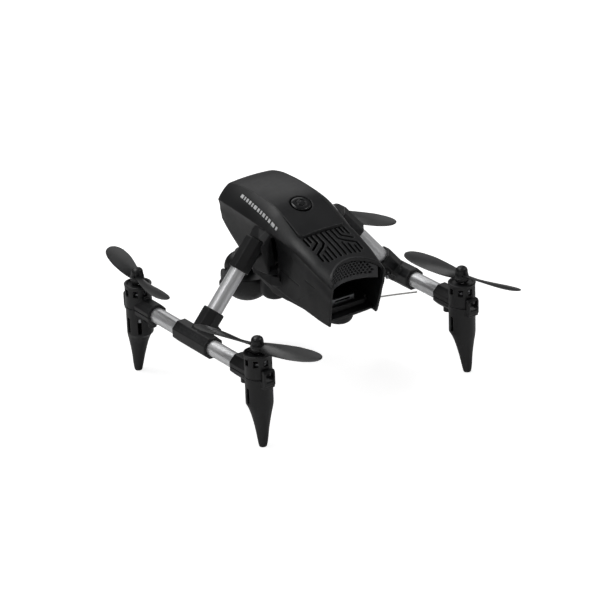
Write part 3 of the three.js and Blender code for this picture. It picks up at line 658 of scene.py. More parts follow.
# ---------------------------------------------------------------------------
# Body form
# ---------------------------------------------------------------------------
# y, crown z, half width of the top, then x and z of the widest, middle, lower and bottom
# points, and the lean of the bottom towards the nose
BODY = np.array([
    [40, 94.6, 13.1, 20.0, 87.0, 19.0, 81.0, 18.2, 76.5, 15.0, 74.0, 0],
    [35, 95.9, 13.4, 20.9, 87.4, 19.2, 79.5, 18.2, 72.0, 15.4, 68.0, 0],
    [28, 96.8, 13.5, 21.5, 87.4, 19.2, 78.0, 18.0, 67.5, 16.0, 61.5, 0],
    [20, 96.9, 13.5, 21.9, 87.0, 19.2, 77.0, 17.9, 65.0, 16.6, 56.6, 0],
    [10, 96.2, 13.5, 22.0, 86.2, 19.2, 76.0, 17.8, 63.5, 17.2, 54.4, 0],
    [1, 94.9, 13.5, 21.8, 85.2, 19.2, 75.0, 17.8, 63.0, 17.4, 52.8, 0],
    [-5, 92.9, 13.5, 21.4, 84.0, 19.2, 74.5, 17.8, 62.5, 17.2, 51.6, 0],
    [-6.4, 92.2, 13.5, 21.2, 83.6, 16.7, 74.5, 16.3, 62.5, 17.1, 51.4, 0],
    [-12, 89.1, 13.5, 20.4, 82.2, 17.0, 74.0, 16.6, 61.5, 16.9, 50.2, 0],
    [-21.2, 84.1, 13.3, 19.0, 79.4, 17.9, 72.8, 17.1, 60.0, 16.3, 48.4, 0],
    [-26, 82.3, 12.9, 18.9, 77.8, 18.0, 71.6, 17.2, 59.3, 16.1, 47.5, 0.2],
    [-31, 80.5, 12.7, 18.7, 75.8, 18.0, 70.4, 17.2, 58.5, 15.9, 46.7, 0.6],
    [-36, 78.4, 12.6, 18.5, 73.8, 17.8, 69.0, 17.0, 57.8, 15.7, 46.0, 1.5],
    [-41, 76.0, 12.5, 18.0, 71.6, 17.6, 67.0, 16.7, 57.0, 15.4, 45.2, 2.6],
    [-46, 73.8, 12.5, 17.4, 69.4, 17.2, 65.0, 16.3, 55.5, 15.3, 44.9, 4.0],
    [-50.3, 71.7, 12.4, 16.8, 67.4, 16.6, 62.0, 15.9, 54.0, 15.1, 44.6, 5.4],
])
# The flanks step in behind row 6, so they have separate curves before and after it.
WHOLE, FORE, AFT = table_curves(BODY), table_curves(BODY[:7]), table_curves(BODY[7:])
STEP_Y = -5.7
# How far the cover stands above the deck, over y
RISE = smooth_curve([1, -5, -12, -21.2, -50.3], [0, 0.1, 0.75, 1.3, 1.3])


def body_at(y):
    """The columns of BODY after the first, at any y."""
    flank = FORE if y > STEP_Y else AFT
    return [float(curve(y)) for curve in WHOLE[:4] + flank[4:10] + WHOLE[10:]]


TOP_EDGE, WIDEST = 8, 22  # places of these points in a half section


def half_section(y, inset=0.0, top_drop=0.0, open_below=False):
    """The right half of the section as (x, z) points, from the crown to the bottom."""
    (crown, half, wide_x, wide_z, mid_x, mid_z,
     low_x, low_z, base_x, base_z, _) = body_at(y)
    top = crown - top_drop
    edge = half - inset * 0.4
    points = [(edge * q, top - 0.7 * q * q) for q in np.linspace(0, 1, TOP_EDGE + 1)]
    # the shoulder: a quadratic curve from the top edge to the widest point
    blend = smoothstep((-12 - y) / 16)
    full, fall = lerp(0.62, 0.78, blend), lerp(0.36, 0.2, blend)
    start = np.array([edge, top - 0.7])
    pull_z = min(top - 0.7, crown - 0.7 - inset)
    pull = np.array([lerp(edge, wide_x - inset, full), lerp(pull_z, wide_z, fall)])
    end = np.array([wide_x - inset, wide_z - inset * 0.3])
    for t in np.linspace(0, 1, WIDEST - TOP_EDGE + 1)[1:]:
        points.append(tuple((1 - t) ** 2 * start + 2 * t * (1 - t) * pull + t * t * end))
    side = [
        (wide_x - inset, wide_z - 0.3 * inset),
        (lerp(wide_x, mid_x, 0.55) - inset - 0.25, lerp(wide_z, mid_z, 0.5)),
        (mid_x - inset, mid_z),
        (lerp(mid_x, low_x, 0.5) - inset - 0.1, lerp(mid_z, low_z, 0.5)),
        (low_x - inset, low_z),
        (base_x - inset, base_z + 1.2),
    ]
    flank = smooth_curve([z for _, z in side], [x for x, _ in side])
    points += [(float(flank(z)), z) for z in np.linspace(side[0][1], side[-1][1], 27)[1:]]
    if open_below:
        points += [(base_x - inset, base_z - depth) for depth in (12.0, 24.0)]
        return points + [(0.0, base_z - 24.0)]
    points += [(base_x - inset - 0.2, base_z + 0.35), (base_x - inset - 0.8, base_z)]
    return points + [(0.0, base_z)]


def body_ring(y, inset=0.0, top_drop=0.0, open_below=False, y_out=None):
    """The whole section at y, leaning below its widest line, set at y_out if given."""
    _, _, _, wide_z, *_, base_z, lean = body_at(y)
    place = y if y_out is None else y_out

    def forward(z):
        if z >= wide_z:
            return 0.0
        return lean * min(wide_z - z, wide_z - base_z + 2) / (wide_z - base_z)

    points = half_section(y, inset, top_drop, open_below)
    right = [(x, place + forward(z), z) for x, z in points]
    left = [(-x, ahead, z) for x, ahead, z in right[1:-1]][::-1]
    return np.array(right + left)


def shrunk(points, inset):
    """A ring pulled in by about the inset, for the rounded rim of the nose."""
    points = np.array(points)
    low, high = points[:, 2].min(), points[:, 2].max()
    centre = np.array([0, 0, (high + low) / 2])
    factor = 1 - inset / np.array([points[:, 0].max(), 1.0, (high - low) / 2])
    factor[1] = 1
    out = centre + (points - centre) * factor
    out[:, 1] = points[:, 1]
    return out


STATIONS = np.concatenate([np.arange(39.2, TAIL_Y, -0.8), [-5.0, -6.4, -21.2, -21.5, TAIL_Y]])
STATIONS = [
    y for y in sorted(set(np.round(STATIONS, 3)), reverse=True)
    if not (-6.4 < y < -5.0 or -21.5 < y < -21.2)
]
nose = []
for t in np.linspace(0, math.pi / 2, 6)[:-1]:
    y = NOSE_Y - NOSE_R * (1 - math.cos(t))
    nose.append(shrunk(body_ring(y), NOSE_R * (1 - math.sin(t))))
form = loft(nose + [body_ring(y) for y in STATIONS])
proud = loft(nose + [body_ring(y, 0.0, -float(RISE(y))) for y in STATIONS])
UNDER_COVER = WALL + COVER_T + 0.6
hollow = loft(
    [body_ring(38.0, WALL, UNDER_COVER, True)]
    + [body_ring(y, WALL, UNDER_COVER if y > LIP_Y else WALL + 0.1, True)
       for y in STATIONS if y < 37.5]
    + [body_ring(TAIL_Y, WALL, WALL, True, -60)]
)


def arm_point(side, distance):
    return np.array([side * (MOTOR_X + ARM_DX * distance), ARM_Y, ARM_Z + ARM_DZ * distance])


# ---------------------------------------------------------------------------
# Upper shell
# ---------------------------------------------------------------------------
# The fairing round the arm socket and the ledge under it, right side
FIN = [
    [
        (17.0, -6.3, 84.2), (20.4, -6.3, 83.4), (23.0, -6.3, 75.6), (23.1, -6.3, 62.2),
        (17.5, -6.3, 60.4), (21.2, -4.0, 84.6), (20.8, 3.6, 85.2), (25.4, -2.3, 81.0),
        (26.6, -5.7, 77.0), (17.0, 8.0, 85.0), (22.4, 7.0, 82.4), (25.0, 7.0, 78.5),
        (24.2, 7.0, 62), (22.0, -6.0, 61.4), (17.5, 9, 61),
    ],
    [
        (17.2, -8, 54.4), (17.2, 12, 58.2), (17.2, -8, 59.4), (17.2, 12, 61.6),
        (20.2, 11.5, 60.2), (20.4, 11.5, 62.4), (24.4, 5, 60.4), (24.4, 5, 62.3),
        (21.4, -5.5, 55.5), (21.4, -5.5, 60.8),
    ],
]
# The recess in the fairing, open to the rear, right side
FIN_RECESS = [
    (18.6, -7, 81.2), (20.8, -7, 81.0), (22.0, -7, 75.6), (22.2, -7, 63.2), (17.0, -7, 63.2),
    (16.8, -7, 76.0), (18.6, -3.6, 80.2), (19.8, -3.6, 80.0), (20.6, -3.6, 75.0),
    (20.8, -3.6, 64.4), (16.0, -3.6, 64.4),
]
# Grooves in the roof behind the cover, runs of (x, y), right side
GROOVES = [
    [(1.5, -21.9), (1.5, -38.2)],
    [(4.5, -21.9), (4.5, -28.2), (6.6, -30.2), (11.9, -33.1), (11.9, -37.4)],
    [(7.4, -21.9), (7.4, -26.8), (12.2, -29.7)],
    [(9.9, -21.9), (9.9, -25.2)],
    [(12.2, -21.9), (12.2, -26.6)],
    [(4.5, -31.2), (4.5, -38.3)],
    [(7.1, -32.8), (7.1, -38.6)],
    [(9.6, -34.6), (9.6, -38.8)],
]
GROOVE_WIDTH = 1.15
# Moulding lines in the flanks: start (y, z), end (y, z), radius
FLANK_LINES = [
    ((-6.9, 63.4), (-24.3, 60.5), 0.42),
    ((-29.6, 65.6), (-37.5, 63.8), 0.40),
    ((-22.5, 52.4), (-35.4, 60.4), 0.30),
]


def lip_corner(side, grow):
    """The wedge cut from each end of the cover's rear lip."""
    return hull([point for z in (70, 95) for point in sided(side, [
        (11.2 + grow * 1.36, -22.4, z), (14.6, -22.4, z), (14.6, -18.3 - grow * 1.48, z),
    ])])


def groove(start, end):
    """A round-ended slot between two (x, y) points."""
    heading = math.atan2(end[1] - start[1], end[0] - start[0])
    outline = []
    for (x, y), turn in ((start, math.pi / 2), (end, -math.pi / 2)):
        for i in range(9):
            angle = heading + turn + math.pi * i / 8
            outline.append((
                x + GROOVE_WIDTH / 2 * math.cos(angle), y + GROOVE_WIDTH / 2 * math.sin(angle),
            ))
    return prism(outline, 70, 90)


def flank_line(side, start, end, radius):
    path = []
    for t in np.linspace(0, 1, 24):
        y, z = lerp(start[0], end[0], t), lerp(start[1], end[1], t)
        flank = half_section(y)[WIDEST:-2]
        flank_x = float(np.interp(-z, [-point[1] for point in flank], [x for x, _ in flank]))
        path.append((side * (flank_x + radius * 0.25), y, z))
    return bar_along(path, radius, 10)


def on_button(height):
    """A point on the button's axis, above its centre."""
    return BUTTON_C + BUTTON_N * height


def cover_zone(half):
    return box(-half, half, LIP_Y, 45, 70, 110)


def roof_bead():
    """The bead round the hollowed rear edge of the roof."""
    path = []
    for x in np.linspace(-15.0, 15.0, 41):
        y = NOTCH_Y + math.sqrt((NOTCH_R + 0.35) ** 2 - x * x)
        roof = half_section(y)[:WIDEST + 1]
        roof_z = float(np.interp(abs(x), [point[0] for point in roof], [z for _, z in roof]))
        path.append((x, y, roof_z - 0.12))
    return bar_along(path, 0.52)


def make_shell():
    # the cover and its pocket share a thin strip, so no dark slot shows between them
    pocket = combine(
        cover_zone(COVER_HALF - 0.1),
        cut(lowered(form, COVER_T + GAP), *(lip_corner(side, -0.08) for side in SIDES)),
    )
    grooves = [
        groove((side * x0, y0), (side * x1, y1))
        for side in SIDES for run in GROOVES for (x0, y0), (x1, y1) in zip(run, run[1:])
    ]
    arm_cuts = []
    for side in SIDES:
        start, end = arm_point(side, SOCKET_START - 6), arm_point(side, SOCKET_END + 0.25)
        arm_cuts.append(octagon(start, end, SOCKET_R + 0.2))
        arm_cuts.append(post(50, 64, 0.7, 24, x=side * 22.3, y=3.2))
    notch = combine(
        post(58, 90, NOTCH_R, 160, y=NOTCH_Y), within(box(-15.2, 15.2, -60, -35, 58, 90)),
    )
    return largest(combine(
        form,
        add(*(hull(sided(side, points)) for side in SIDES for points in FIN)),
        cut(*(hull(sided(side, FIN_RECESS)) for side in SIDES)),
        cut(hollow, pocket, *grooves, *arm_cuts, notch),
        cut(rod(on_button(-10), on_button(6), 2.2, 40)),
        cut(rod(on_button(-2.8), on_button(6), BUTTON_R + 0.6, 72)),
        add(roof_bead()),
        cut(*(flank_line(side, *line) for side in SIDES for line in FLANK_LINES)),
    ))


shell = soften(make_shell(), voxel=0.30, rounds=2, keep=0.5)
piece("shell_upper", shell, "shell", "airframe", "shell", "upper_shell")

# ---- top cover --------------------------------------------------------------
cover = largest(combine(
    proud,
    within(cover_zone(COVER_HALF + 0.1)),
    cut(lowered(form, COVER_T), rod(on_button(-6), on_button(6), BUTTON_R + 0.6, 72)),
    cut(*(lip_corner(side, 0.08) for side in SIDES)),
))
cover = soften(cover, voxel=0.30, rounds=3, keep=0.6)
piece("cover_top", cover, "cover", "airframe", "shell", "top_cover")


# ---- power button -----------------------------------------------------------
def button_plate(centre, half_x, half_along, low, high):
    """A bar across the button, its centre measured towards the nose."""
    forward = unit(np.cross(BUTTON_N, [1, 0, 0]))
    return hull([
        on_button(height) + np.array([x, 0, 0]) + forward * along
        for height in (low, high) for x in (-half_x, half_x)
        for along in (centre - half_along, centre + half_along)
    ])


def make_button():
    """A domed cap with a power mark sunk in it: a broken ring and a bar."""
    radius = BUTTON_R - 0.05
    profile = [(0, radius), (0.9, radius)]
    for t in np.linspace(0, math.pi / 2, 12):
        profile.append((0.9 + 0.95 * math.sin(t) ** 0.8, radius - 1.9 * (1 - math.cos(t))))
    profile += [(1.92, 2.0), (1.95, 0.2)]
    mark = combine(
        lathe(on_button(0.0), BUTTON_N, [(0, 2.8), (1.4, 2.8)]),
        cut(lathe(on_button(-0.2), BUTTON_N, [(0, 1.95), (2.0, 1.95)])),
        cut(button_plate(2.5, 1.0, 1.4, -0.2, 2.5)),
    )
    return combine(
        lathe(on_button(-1.4), BUTTON_N, profile, 96),
        cut(mark, button_plate(2.0, 0.4, 1.25, 0.0, 2.0)),
        add(rod(on_button(-6.0), on_button(-1.2), 1.6, 32)),
    )


button = soften(make_button(), voxel=0.13, rounds=3, keep=0.6)
piece("button_cap", button, "button", "button", "shell", "power_button")


# ---- rear grille and bay roof -----------------------------------------------
def grille_holes():
    """Rows of diamond holes, staggered, fewer in the upper rows."""
    pitch, row_pitch, half_x, half_z = 1.9, 1.38, 0.74, 0.86
    diamond = ((half_x, 0), (0, half_z), (-half_x, 0), (0, -half_z))
    holes = []
    for row in range(7):
        for i in range(-7, 8):
            x = i * pitch + (row % 2) * pitch / 2 - pitch / 4
            z = 66.9 + row * row_pitch
            if abs(x) <= 12.3 - max(0, row - 2) * 1.35:
                holes.append(hull([(x + u, y, z + w) for y in (-52, -37) for u, w in diamond]))
    return joined(holes)


def make_grille():
    arcs = []
    for radius in (NOTCH_R + 1.5, NOTCH_R + 0.3):
        arcs.append([
            (x, NOTCH_Y + math.sqrt(radius * radius - x * x)) for x in np.linspace(-14.0, 14.0, 65)
        ])
    outside = combine(
        box(-20, 20, -60, -30, 50, 90), cut(lowered(hollow, 0.45), box(-20, 20, -60, -30, 50, 66)),
    )
    slab = combine(
        box(-13.6, 13.6, -45, -4, BAY_ROOF_Z - 1.2, BAY_ROOF_Z),
        cut(post(50, 90, NOTCH_R + 0.6, 96, y=NOTCH_Y)),
    )
    panel = prism(arcs[0] + arcs[1][::-1], BAY_ROOF_Z - 1.2, 80)
    return largest(combine(panel, cut(outside), add(slab), cut(grille_holes())))


grille = soften(make_grille(), voxel=0.19, rounds=2, keep=0.5)
piece("grille_rear", grille, "grille", "airframe", "shell", "rear_grille")

# ---- belly pan --------------------------------------------------------------
# y, half width, top z, bottom z
PAN = np.array([
    [-43.4, 13.4, 47.2, 46.0], [-40, 14.0, 47.4, 44.9], [-30, 14.4, 47.6, 45.2],
    [-18, 14.8, 47.9, 45.9], [-6, 15.4, 48.1, 46.8], [0.6, 15.5, 48.2, 47.0],
    [4, 15.5, 49.8, 48.0], [14, 15.0, 52.6, 50.4], [22, 14.6, 55.6, 53.4],
    [30, 14.2, 61.6, 59.6], [36.6, 13.5, 68.2, 66.4],
])
PAN_CURVES = table_curves(PAN)


def pan_ring(y):
    half, top, bottom = (float(curve(y)) for curve in PAN_CURVES)
    points = []
    for i in range(33):
        t = math.pi * i / 32
        z = top - 0.6 - (top - 0.6 - bottom) * math.sin(t) ** 0.7
        points.append((half * math.cos(t), y, z))
    return points + [(half * q, y, top) for q in np.linspace(-1, 1, 12)]


def pan_wall(side):
    """The thin upstand of the pan, which closes it against the inside of the shell."""
    rings = []
    for station in np.linspace(-47.5, 30, 60):
        *_, base_x, base_z, lean = body_at(station)
        y = station + lean
        half, top, _ = (float(curve(y)) for curve in PAN_CURVES)
        x = base_x - WALL - 0.05
        rings.append(sided(side, [
            (half - 1.0, y, top - 1.0), (half - 0.05, y, top - 1.0),
            (x, y, base_z + 0.9), (x - 1.0, y, base_z + 0.9),
        ]))
    return loft(rings)


FRONT_BOSS = [
    (0, 2.8), (0.4, 4.2), (1.1, 5.5), (2.1, 6.5), (3.2, 7.1), (5, 7.45), (7, 7.5), (12, 6.9),
    (21, 6.9),
]
SENSOR_BOSS = [(0, 4.2), (0.4, 5.2), (0.9, 5.9), (1.8, 6.6), (2.8, 7.0), (7.2, 7.6)]
SENSOR_Y = -33
pan_bare = combine(
    loft([pan_ring(y) for y in np.linspace(-43.4, 36.6, 72)]),
    add(combine(lathe((0, 21.5, 33.4), UP, FRONT_BOSS), within(box(-20, 20, 0, 40, 30, 54)))),
    add(lathe((0, SENSOR_Y, 39.6), UP, SENSOR_BOSS)),
    cut(post(36, 41.6, 3.3, y=SENSOR_Y)),
)
pan = soften(combine(pan_bare, add(*map(pan_wall, SIDES))), voxel=0.36, rounds=3, keep=0.6)
piece("pan_belly", pan, "shell", "airframe", "shell", "belly_pan")
window = lathe((0, SENSOR_Y, 40.0), UP, [(0.0, 2.2), (0.12, 2.7), (0.3, 2.9), (1.3, 2.9)], 48)
piece("sensor_window", window, "glass", "airframe", "glass", "floor_sensor", angle=40)

# ---- antenna: a sleeved wire with a slight upward bow -------------------------
wire = []
for t in np.linspace(0, 1, 40):
    point = np.array([17.2, -30, 44.93]) * (1 - t) + np.array([51.3, -30, 39.0]) * t
    wire.append(point + np.array([0, 0, 0.25 * math.sin(math.pi * t)]))
wire = bar_along(wire, 0.42, 20)
piece("wire_antenna", wire, "wire", "airframe", "wire", "antenna_wire", angle=60)


# ---------------------------------------------------------------------------
# Arms, T-joints and booms; joints are made for the right side
# ---------------------------------------------------------------------------
def make_socket():
    bore = rod(arm_point(1, SOCKET_START - 1), arm_point(1, SOCKET_START + 14.3), TUBE_HOLE_R, 64)
    block = octagon(arm_point(1, SOCKET_START), arm_point(1, SOCKET_END), SOCKET_R, 0.4)
    return soften(combine(block, cut(bore)), voxel=0.22, rounds=2, keep=0.5)


def make_joint():
    x = MOTOR_X
    low_x, _, low_z = arm_point(1, 11) - (2.6, 0, 3.4)
    high_x, _, high_z = arm_point(1, 9) + (2.0, 0, 3.2)
    web = hull([
        (x - 3.5, -9, BOOM_Z + 2.2), (x - 3.5, 9.6, BOOM_Z + 2.2),
        (x - 1.5, -8, BOOM_Z - 3), (x - 1.5, 8.6, BOOM_Z - 3),
        (low_x, -2.8, low_z), (low_x, 3.4, low_z), (high_x, -2.8, high_z), (high_x, 3.4, high_z),
    ])
    joint = combine(
        octagon((x, -TJOINT_HALF, BOOM_Z), (x, TJOINT_HALF, BOOM_Z), COLLAR_R, 0.45),
        add(octagon(arm_point(1, 1), arm_point(1, STEM_END), COLLAR_R, 0.45), web),
        add(rod((x - 10.2, -4.0, 38.6), (x - 8.6, -1.0, 41.6), 2.0, 32)),  # screw boss
        cut(rod((x, -20, BOOM_Z), (x, 20, BOOM_Z), TUBE_HOLE_R, 64)),
        cut(rod(arm_point(1, 9.3), arm_point(1, STEM_END + 2), TUBE_HOLE_R, 64)),
        cut(rod((x - 10.9, -5.3, 37.3), (x - 9.0, -1.75, 40.85), 1.25, 24)),
    )
    return soften(largest(joint), voxel=0.24, rounds=3, keep=0.55)


def joint_screw(side):
    """A screw head with a six-sided recess."""
    head = np.array([side * MOTOR_X - side * 10.75, -5.0, 37.6])
    axis = (side * 1.6, 3, 3)
    return combine(
        lathe(head, axis, [(0.0, 0.55), (0.12, 0.85), (0.3, 0.95), (3.6, 0.95)], 40),
        cut(rod(head - unit(axis) * 0.4, head + unit(axis) * 0.45, 0.42, 6)),
    )


socket, joint = make_socket(), make_joint()
for tag, side in (("left", -1), ("right", 1)):
    turn = Matrix.Diagonal((side, 1, 1, 1))
    x = side * MOTOR_X
    half = MOTOR_Y - BOOM_INSET
    arm = tube(arm_point(side, 9.6), arm_point(side, ARM_END), TUBE_R, TUBE_BORE)
    boom = tube((x, -half, BOOM_Z), (x, half, BOOM_Z), TUBE_R, TUBE_BORE)
    piece("socket_" + tag, moved(socket, turn), "frame", "airframe", "frame", "arm_socket_" + tag)
    piece("tjoint_" + tag, moved(joint, turn), "frame", "airframe", "frame", "t_joint_" + tag)
    piece("tube_arm_" + tag, arm, "arm_" + tag, "airframe", "tube", "arm_tube_" + tag, angle=30)
    piece("tube_boom_" + tag, boom, "boom", "airframe", "tube", "boom_tube_" + tag, angle=30)
    piece("screw_t_" + tag, joint_screw(side), "steel", "airframe", "fittings",
          "t_screw_" + tag, angle=35)

# ---------------------------------------------------------------------------
# Corners, made round the origin with the boom towards -Y and the outer end towards +Y
# ---------------------------------------------------------------------------
# z, centre x, centre y, radius in x, radius in y
LEG = np.array([
    [SPLIT_Z, 0, 0, 6.8, 6.8], [22.4, 0, 0, 6.8, 6.8], [20.4, 0.1, 0.9, 6.1, 5.8],
    [18.0, 0.2, 1.3, 5.4, 5.0], [10.0, 0.5, 2.0, 3.6, 3.5], [1.2, 0.85, 2.6, 2.2, 2.2],
    [0, 0.9, 2.6, 1.9, 1.9],
])
LEG_STRAIGHT_Z = 18  # straight lines between stations above this height, a curve below
# Motor can: height, radius
CAN = [
    (0, 2.4), (0.05, 3.4), (0.25, 3.9), (0.6, CAN_R - 0.03), (0.9, CAN_R), (1.6, CAN_R),
    (1.7, CAN_R - 0.12), (1.9, CAN_R - 0.12), (2.0, CAN_R), (15.0, CAN_R),
    (15.15, CAN_R - 0.15), (15.4, CAN_R - 0.15), (15.55, CAN_R), (16.1, CAN_R),
    (16.5, CAN_R - 0.2), (16.7, 3.7), (16.8, 3.4), (16.55, 3.2), (16.5, 1.6), (16.95, 1.4),
    (17.0, 0.9),
]
collar = octagon((0, -COLLAR_IN, BOOM_Z), (0, -4, BOOM_Z), COLLAR_R, 0.4)
boom_hole = rod((0, -30, BOOM_Z), (0, -7.3, BOOM_Z), TUBE_HOLE_R, 64)
can_hole = post(CAN_Z - 0.2, 60, CAN_R + GAP, 64)


def make_bracket():
    """The upper half of the corner."""
    hoop = lathe((0, 0, 48.4), UP, [(0, 6.8), (0.2, 7.05), (0.65, 7.05), (0.8, 6.85)], 96)
    bracket = combine(
        post(SPLIT_Z - 1, RIM_Z, HOUSING_R, 96),
        add(collar),
        cut(box(-12, 12, -30, 12, 10, SPLIT_Z + 0.12), boom_hole, can_hole),
        cut(post(43.8, 60, 5.6, 72)),
        cut(*(spoke(i * math.pi / 4, 4, 10, 2.4, 43.6, 46.9) for i in range(8))),
        # the inner lip that closes over the can, then a raised hoop at the top
        add(combine(post(47.6, 48.5, 6.2, 72), cut(post(47, 49, 1.05)))),
        add(combine(hoop, cut(post(40, 60, 5.6, 72)))),
    )
    return soften(largest(bracket), voxel=0.22, rounds=3, keep=0.55)


def leg_column():
    heights = np.unique(np.concatenate([np.linspace(0, LEG_STRAIGHT_Z, 20), LEG[:, 0]]))[::-1]
    curves = table_curves(LEG)
    angle = 2 * math.pi * np.arange(64) / 64
    rings = []
    for z in heights:
        if z > LEG_STRAIGHT_Z:
            row = [np.interp(z, LEG[::-1, 0], LEG[::-1, column]) for column in (1, 2, 3, 4)]
        else:
            row = [float(curve(z)) for curve in curves]
        x, y, radius_x, radius_y = row
        rings.append(np.stack([
            x + radius_x * np.cos(angle), y + radius_y * np.sin(angle), np.full(64, z),
        ], 1))
    return loft(rings)


def make_leg():
    """The lower half of the corner, with the leg and a clip on its outer end."""
    tongue = ((7.1, 33.5), (9.5, 34.4), (9.5, 41.2), (8.8, 42.3), (7.1, 42.3))
    catch = ((6.4, 36.0), (9.3, 36.0), (9.3, 36.7), (7.1, 38.7), (6.4, 38.7))
    clip = combine(
        box(-3.2, 3.2, 5.4, 9.0, 32.9, 36.4),
        add(hull_across(3.2, tongue)),
        cut(box(-2.2, 2.2, 6.95, 10.5, 36.2, 41.2)),
        add(hull_across(1.9, catch)),  # shows through the clip's window
    )
    slots = (0, math.pi, 3 * math.pi / 2 + 0.6)
    leg = combine(
        leg_column(),
        add(combine(collar, within(box(-12, 12, -30, 0, 20, SPLIT_Z)))),
        add(post(29.0, 33.0, 2.3, 32, y=SCREW_Y)),
        cut(box(-12, 12, -30, 12, SPLIT_Z - 0.12, 60), boom_hole, can_hole, post(22.6, 30, 3.9)),
        cut(*(spoke(angle, 3.4, 9.4, 1.8, 23.3, 31.5) for angle in slots)),
        add(clip),
        cut(can_hole, post(28, 32.6, 1.35, 32, y=SCREW_Y)),
    )
    return soften(largest(leg), voxel=0.22, rounds=3, keep=0.55)


SCREW_Y = -11.4
bracket, leg = make_bracket(), make_leg()
motor = combine(lathe((0, 0, CAN_Z), UP, CAN, 72), cut(post(41.2, 50, SHAFT_R + 0.2, 32)))
leg_screw = combine(
    lathe((0, SCREW_Y, 29.25), UP, [(0, 0.6), (0.15, 0.95), (0.35, 1.08), (2.7, 1.08)], 40),
    cut(box(-0.8, 0.8, -11.55, -11.25, 28, 29.65), box(-0.15, 0.15, -12.2, -10.6, 28, 29.65)),
)
shaft = lathe((0, 0, 41.5), UP, [(0, 0.4), (0.1, SHAFT_R), (12.4, SHAFT_R), (12.5, 0.4)], 32)

# ---- propellers -------------------------------------------------------------
# radius, chord, twist in degrees, thickness, lift
BLADE = np.array([
    [1.2, 5.0, 30, 2.2, 0.0], [4, 6.0, 29, 1.9, 0.0], [9, 7.7, 25, 1.35, 0.0],
    [15, 9.2, 20, 1.1, 0.1], [22, 10.2, 16, 0.95, 0.2], [28, 9.8, 13, 0.85, 0.2],
    [32.5, 8.2, 11, 0.75, 0.2], [35.4, 5.6, 10, 0.6, 0.2], [36.6, 3.0, 10, 0.45, 0.2],
    [PROP_R, 1.0, 10, 0.3, 0.2],
])
BLADE_CURVES = table_curves(BLADE)
# Blade section: place along the chord, height in thicknesses
SECTION = np.array([
    [0.5, 0.05], [0.3, 0.46], [0, 0.62], [-0.3, 0.36], [-0.5, -0.05], [-0.3, -0.3], [0, -0.2],
    [0.3, -0.24],
])
# Hub: height, radius
HUB = [
    (0, 2.9), (0.12, 3.2), (0.5, 3.5), (1.0, 3.55), (2.2, 3.55), (2.3, 3.4), (2.6, 3.4),
    (2.7, 3.5), (3.8, 3.45), (4.3, 3.2), (5.2, 3.1), (5.8, 3.05), (6.4, 2.95), (6.9, 2.75),
    (7.3, 2.48), (7.65, 2.05), (7.9, 1.55), (8.08, 1.0), (8.17, 0.5), (8.2, 0.1),
]


def round_section(steps=6):
    """The blade section as one smooth closed curve (Catmull-Rom)."""
    points = []
    for i in range(len(SECTION)):
        p0, p1, p2, p3 = (SECTION[(i + k) % len(SECTION)] for k in (-1, 0, 1, 2))
        for t in np.arange(steps) / steps:
            points.append(0.5 * (
                2 * p1 + (p2 - p0) * t + (2 * p0 - 5 * p1 + 4 * p2 - p3) * t**2
                + (3 * p1 - p0 - 3 * p2 + p3) * t**3
            ))
    return np.array(points)


PROFILE = round_section()
BLADE_STATIONS = np.concatenate([
    np.linspace(1.2, 34, 40), np.linspace(34.4, 36.4, 8), [36.6, 36.75, 36.87, 36.95, PROP_R],
])


def make_blade(angle, spin):
    heading = math.radians(angle)
    cos, sin = math.cos(heading), math.sin(heading)
    rings = []
    for radius in BLADE_STATIONS:
        chord, twist, thick, lift = (float(curve(radius)) for curve in BLADE_CURVES)
        pitch = math.radians(twist)
        along, above = PROFILE[:, 0] * chord, PROFILE[:, 1] * thick
        lead = (along * math.cos(pitch) - above * math.sin(pitch)) * spin
        cone = CONING * (radius / PROP_R) ** 1.3
        z = along * math.sin(pitch) + above * math.cos(pitch) + cone
        rings.append(np.stack([
            radius * cos - lead * sin, radius * sin + lead * cos, PROP_Z + lift + z,
        ], 1))
    return loft(rings)


def make_prop(angle, spin):
    pockets = [
        spoke(math.radians(angle + 45 + 90 * i), 2.6, 3.8, 0.9, HUB_Z + 3.6, HUB_Z + 6.1)
        for i in range(4)
    ]
    return combine(
        lathe((0, 0, HUB_Z), UP, HUB),
        add(make_blade(angle, spin), make_blade(angle + 180, spin)),
        cut(post(48, 54.4, SHAFT_R + 0.15, 32), *pockets),
    )


# tag, side in x, side in y, propeller angle in degrees, sense of the blade
CORNERS = [
    ("fl", -1, 1, 79.0, -1), ("rl", -1, -1, 109.2, 1),
    ("rr", 1, -1, 101.3, -1), ("fr", 1, 1, 109.2, 1),
]
for tag, side_x, side_y, angle, spin in CORNERS:
    plain = Matrix.Translation((side_x * MOTOR_X, side_y * MOTOR_Y, 0))
    mirrored = plain @ Matrix.Diagonal((side_x, side_y, 1, 1))
    rotor = "rotor_" + tag
    prop = moved(make_prop(angle, spin), plain)
    piece("housing_" + tag, moved(bracket, mirrored), "frame", "airframe", "frame",
          "bracket_" + tag)
    piece("foot_" + tag, moved(leg, mirrored), "frame", "airframe", "frame", "leg_" + tag)
    piece("can_" + tag, moved(motor, plain), "steel", "airframe", "fittings", "motor_" + tag,
          angle=35)
    piece("screw_leg_" + tag, moved(leg_screw, mirrored), "steel", "airframe", "fittings",
          "screw_" + tag, angle=35)
    piece("axle_" + tag, moved(shaft, plain), "steel", rotor, "fittings", "shaft_" + tag, angle=35)
    piece("propeller_" + tag, prop, "prop", rotor, "prop", "prop_" + tag, angle=38)


# ---------------------------------------------------------------------------
# Camera
# ---------------------------------------------------------------------------
def tilt_rod(side, x0, x1, radius, sides=40):
    """A rod on the axis the camera tilts about."""
    return rod((side * x0, BALL[1], TILT_Z), (side * x1, BALL[1], TILT_Z), radius, sides)


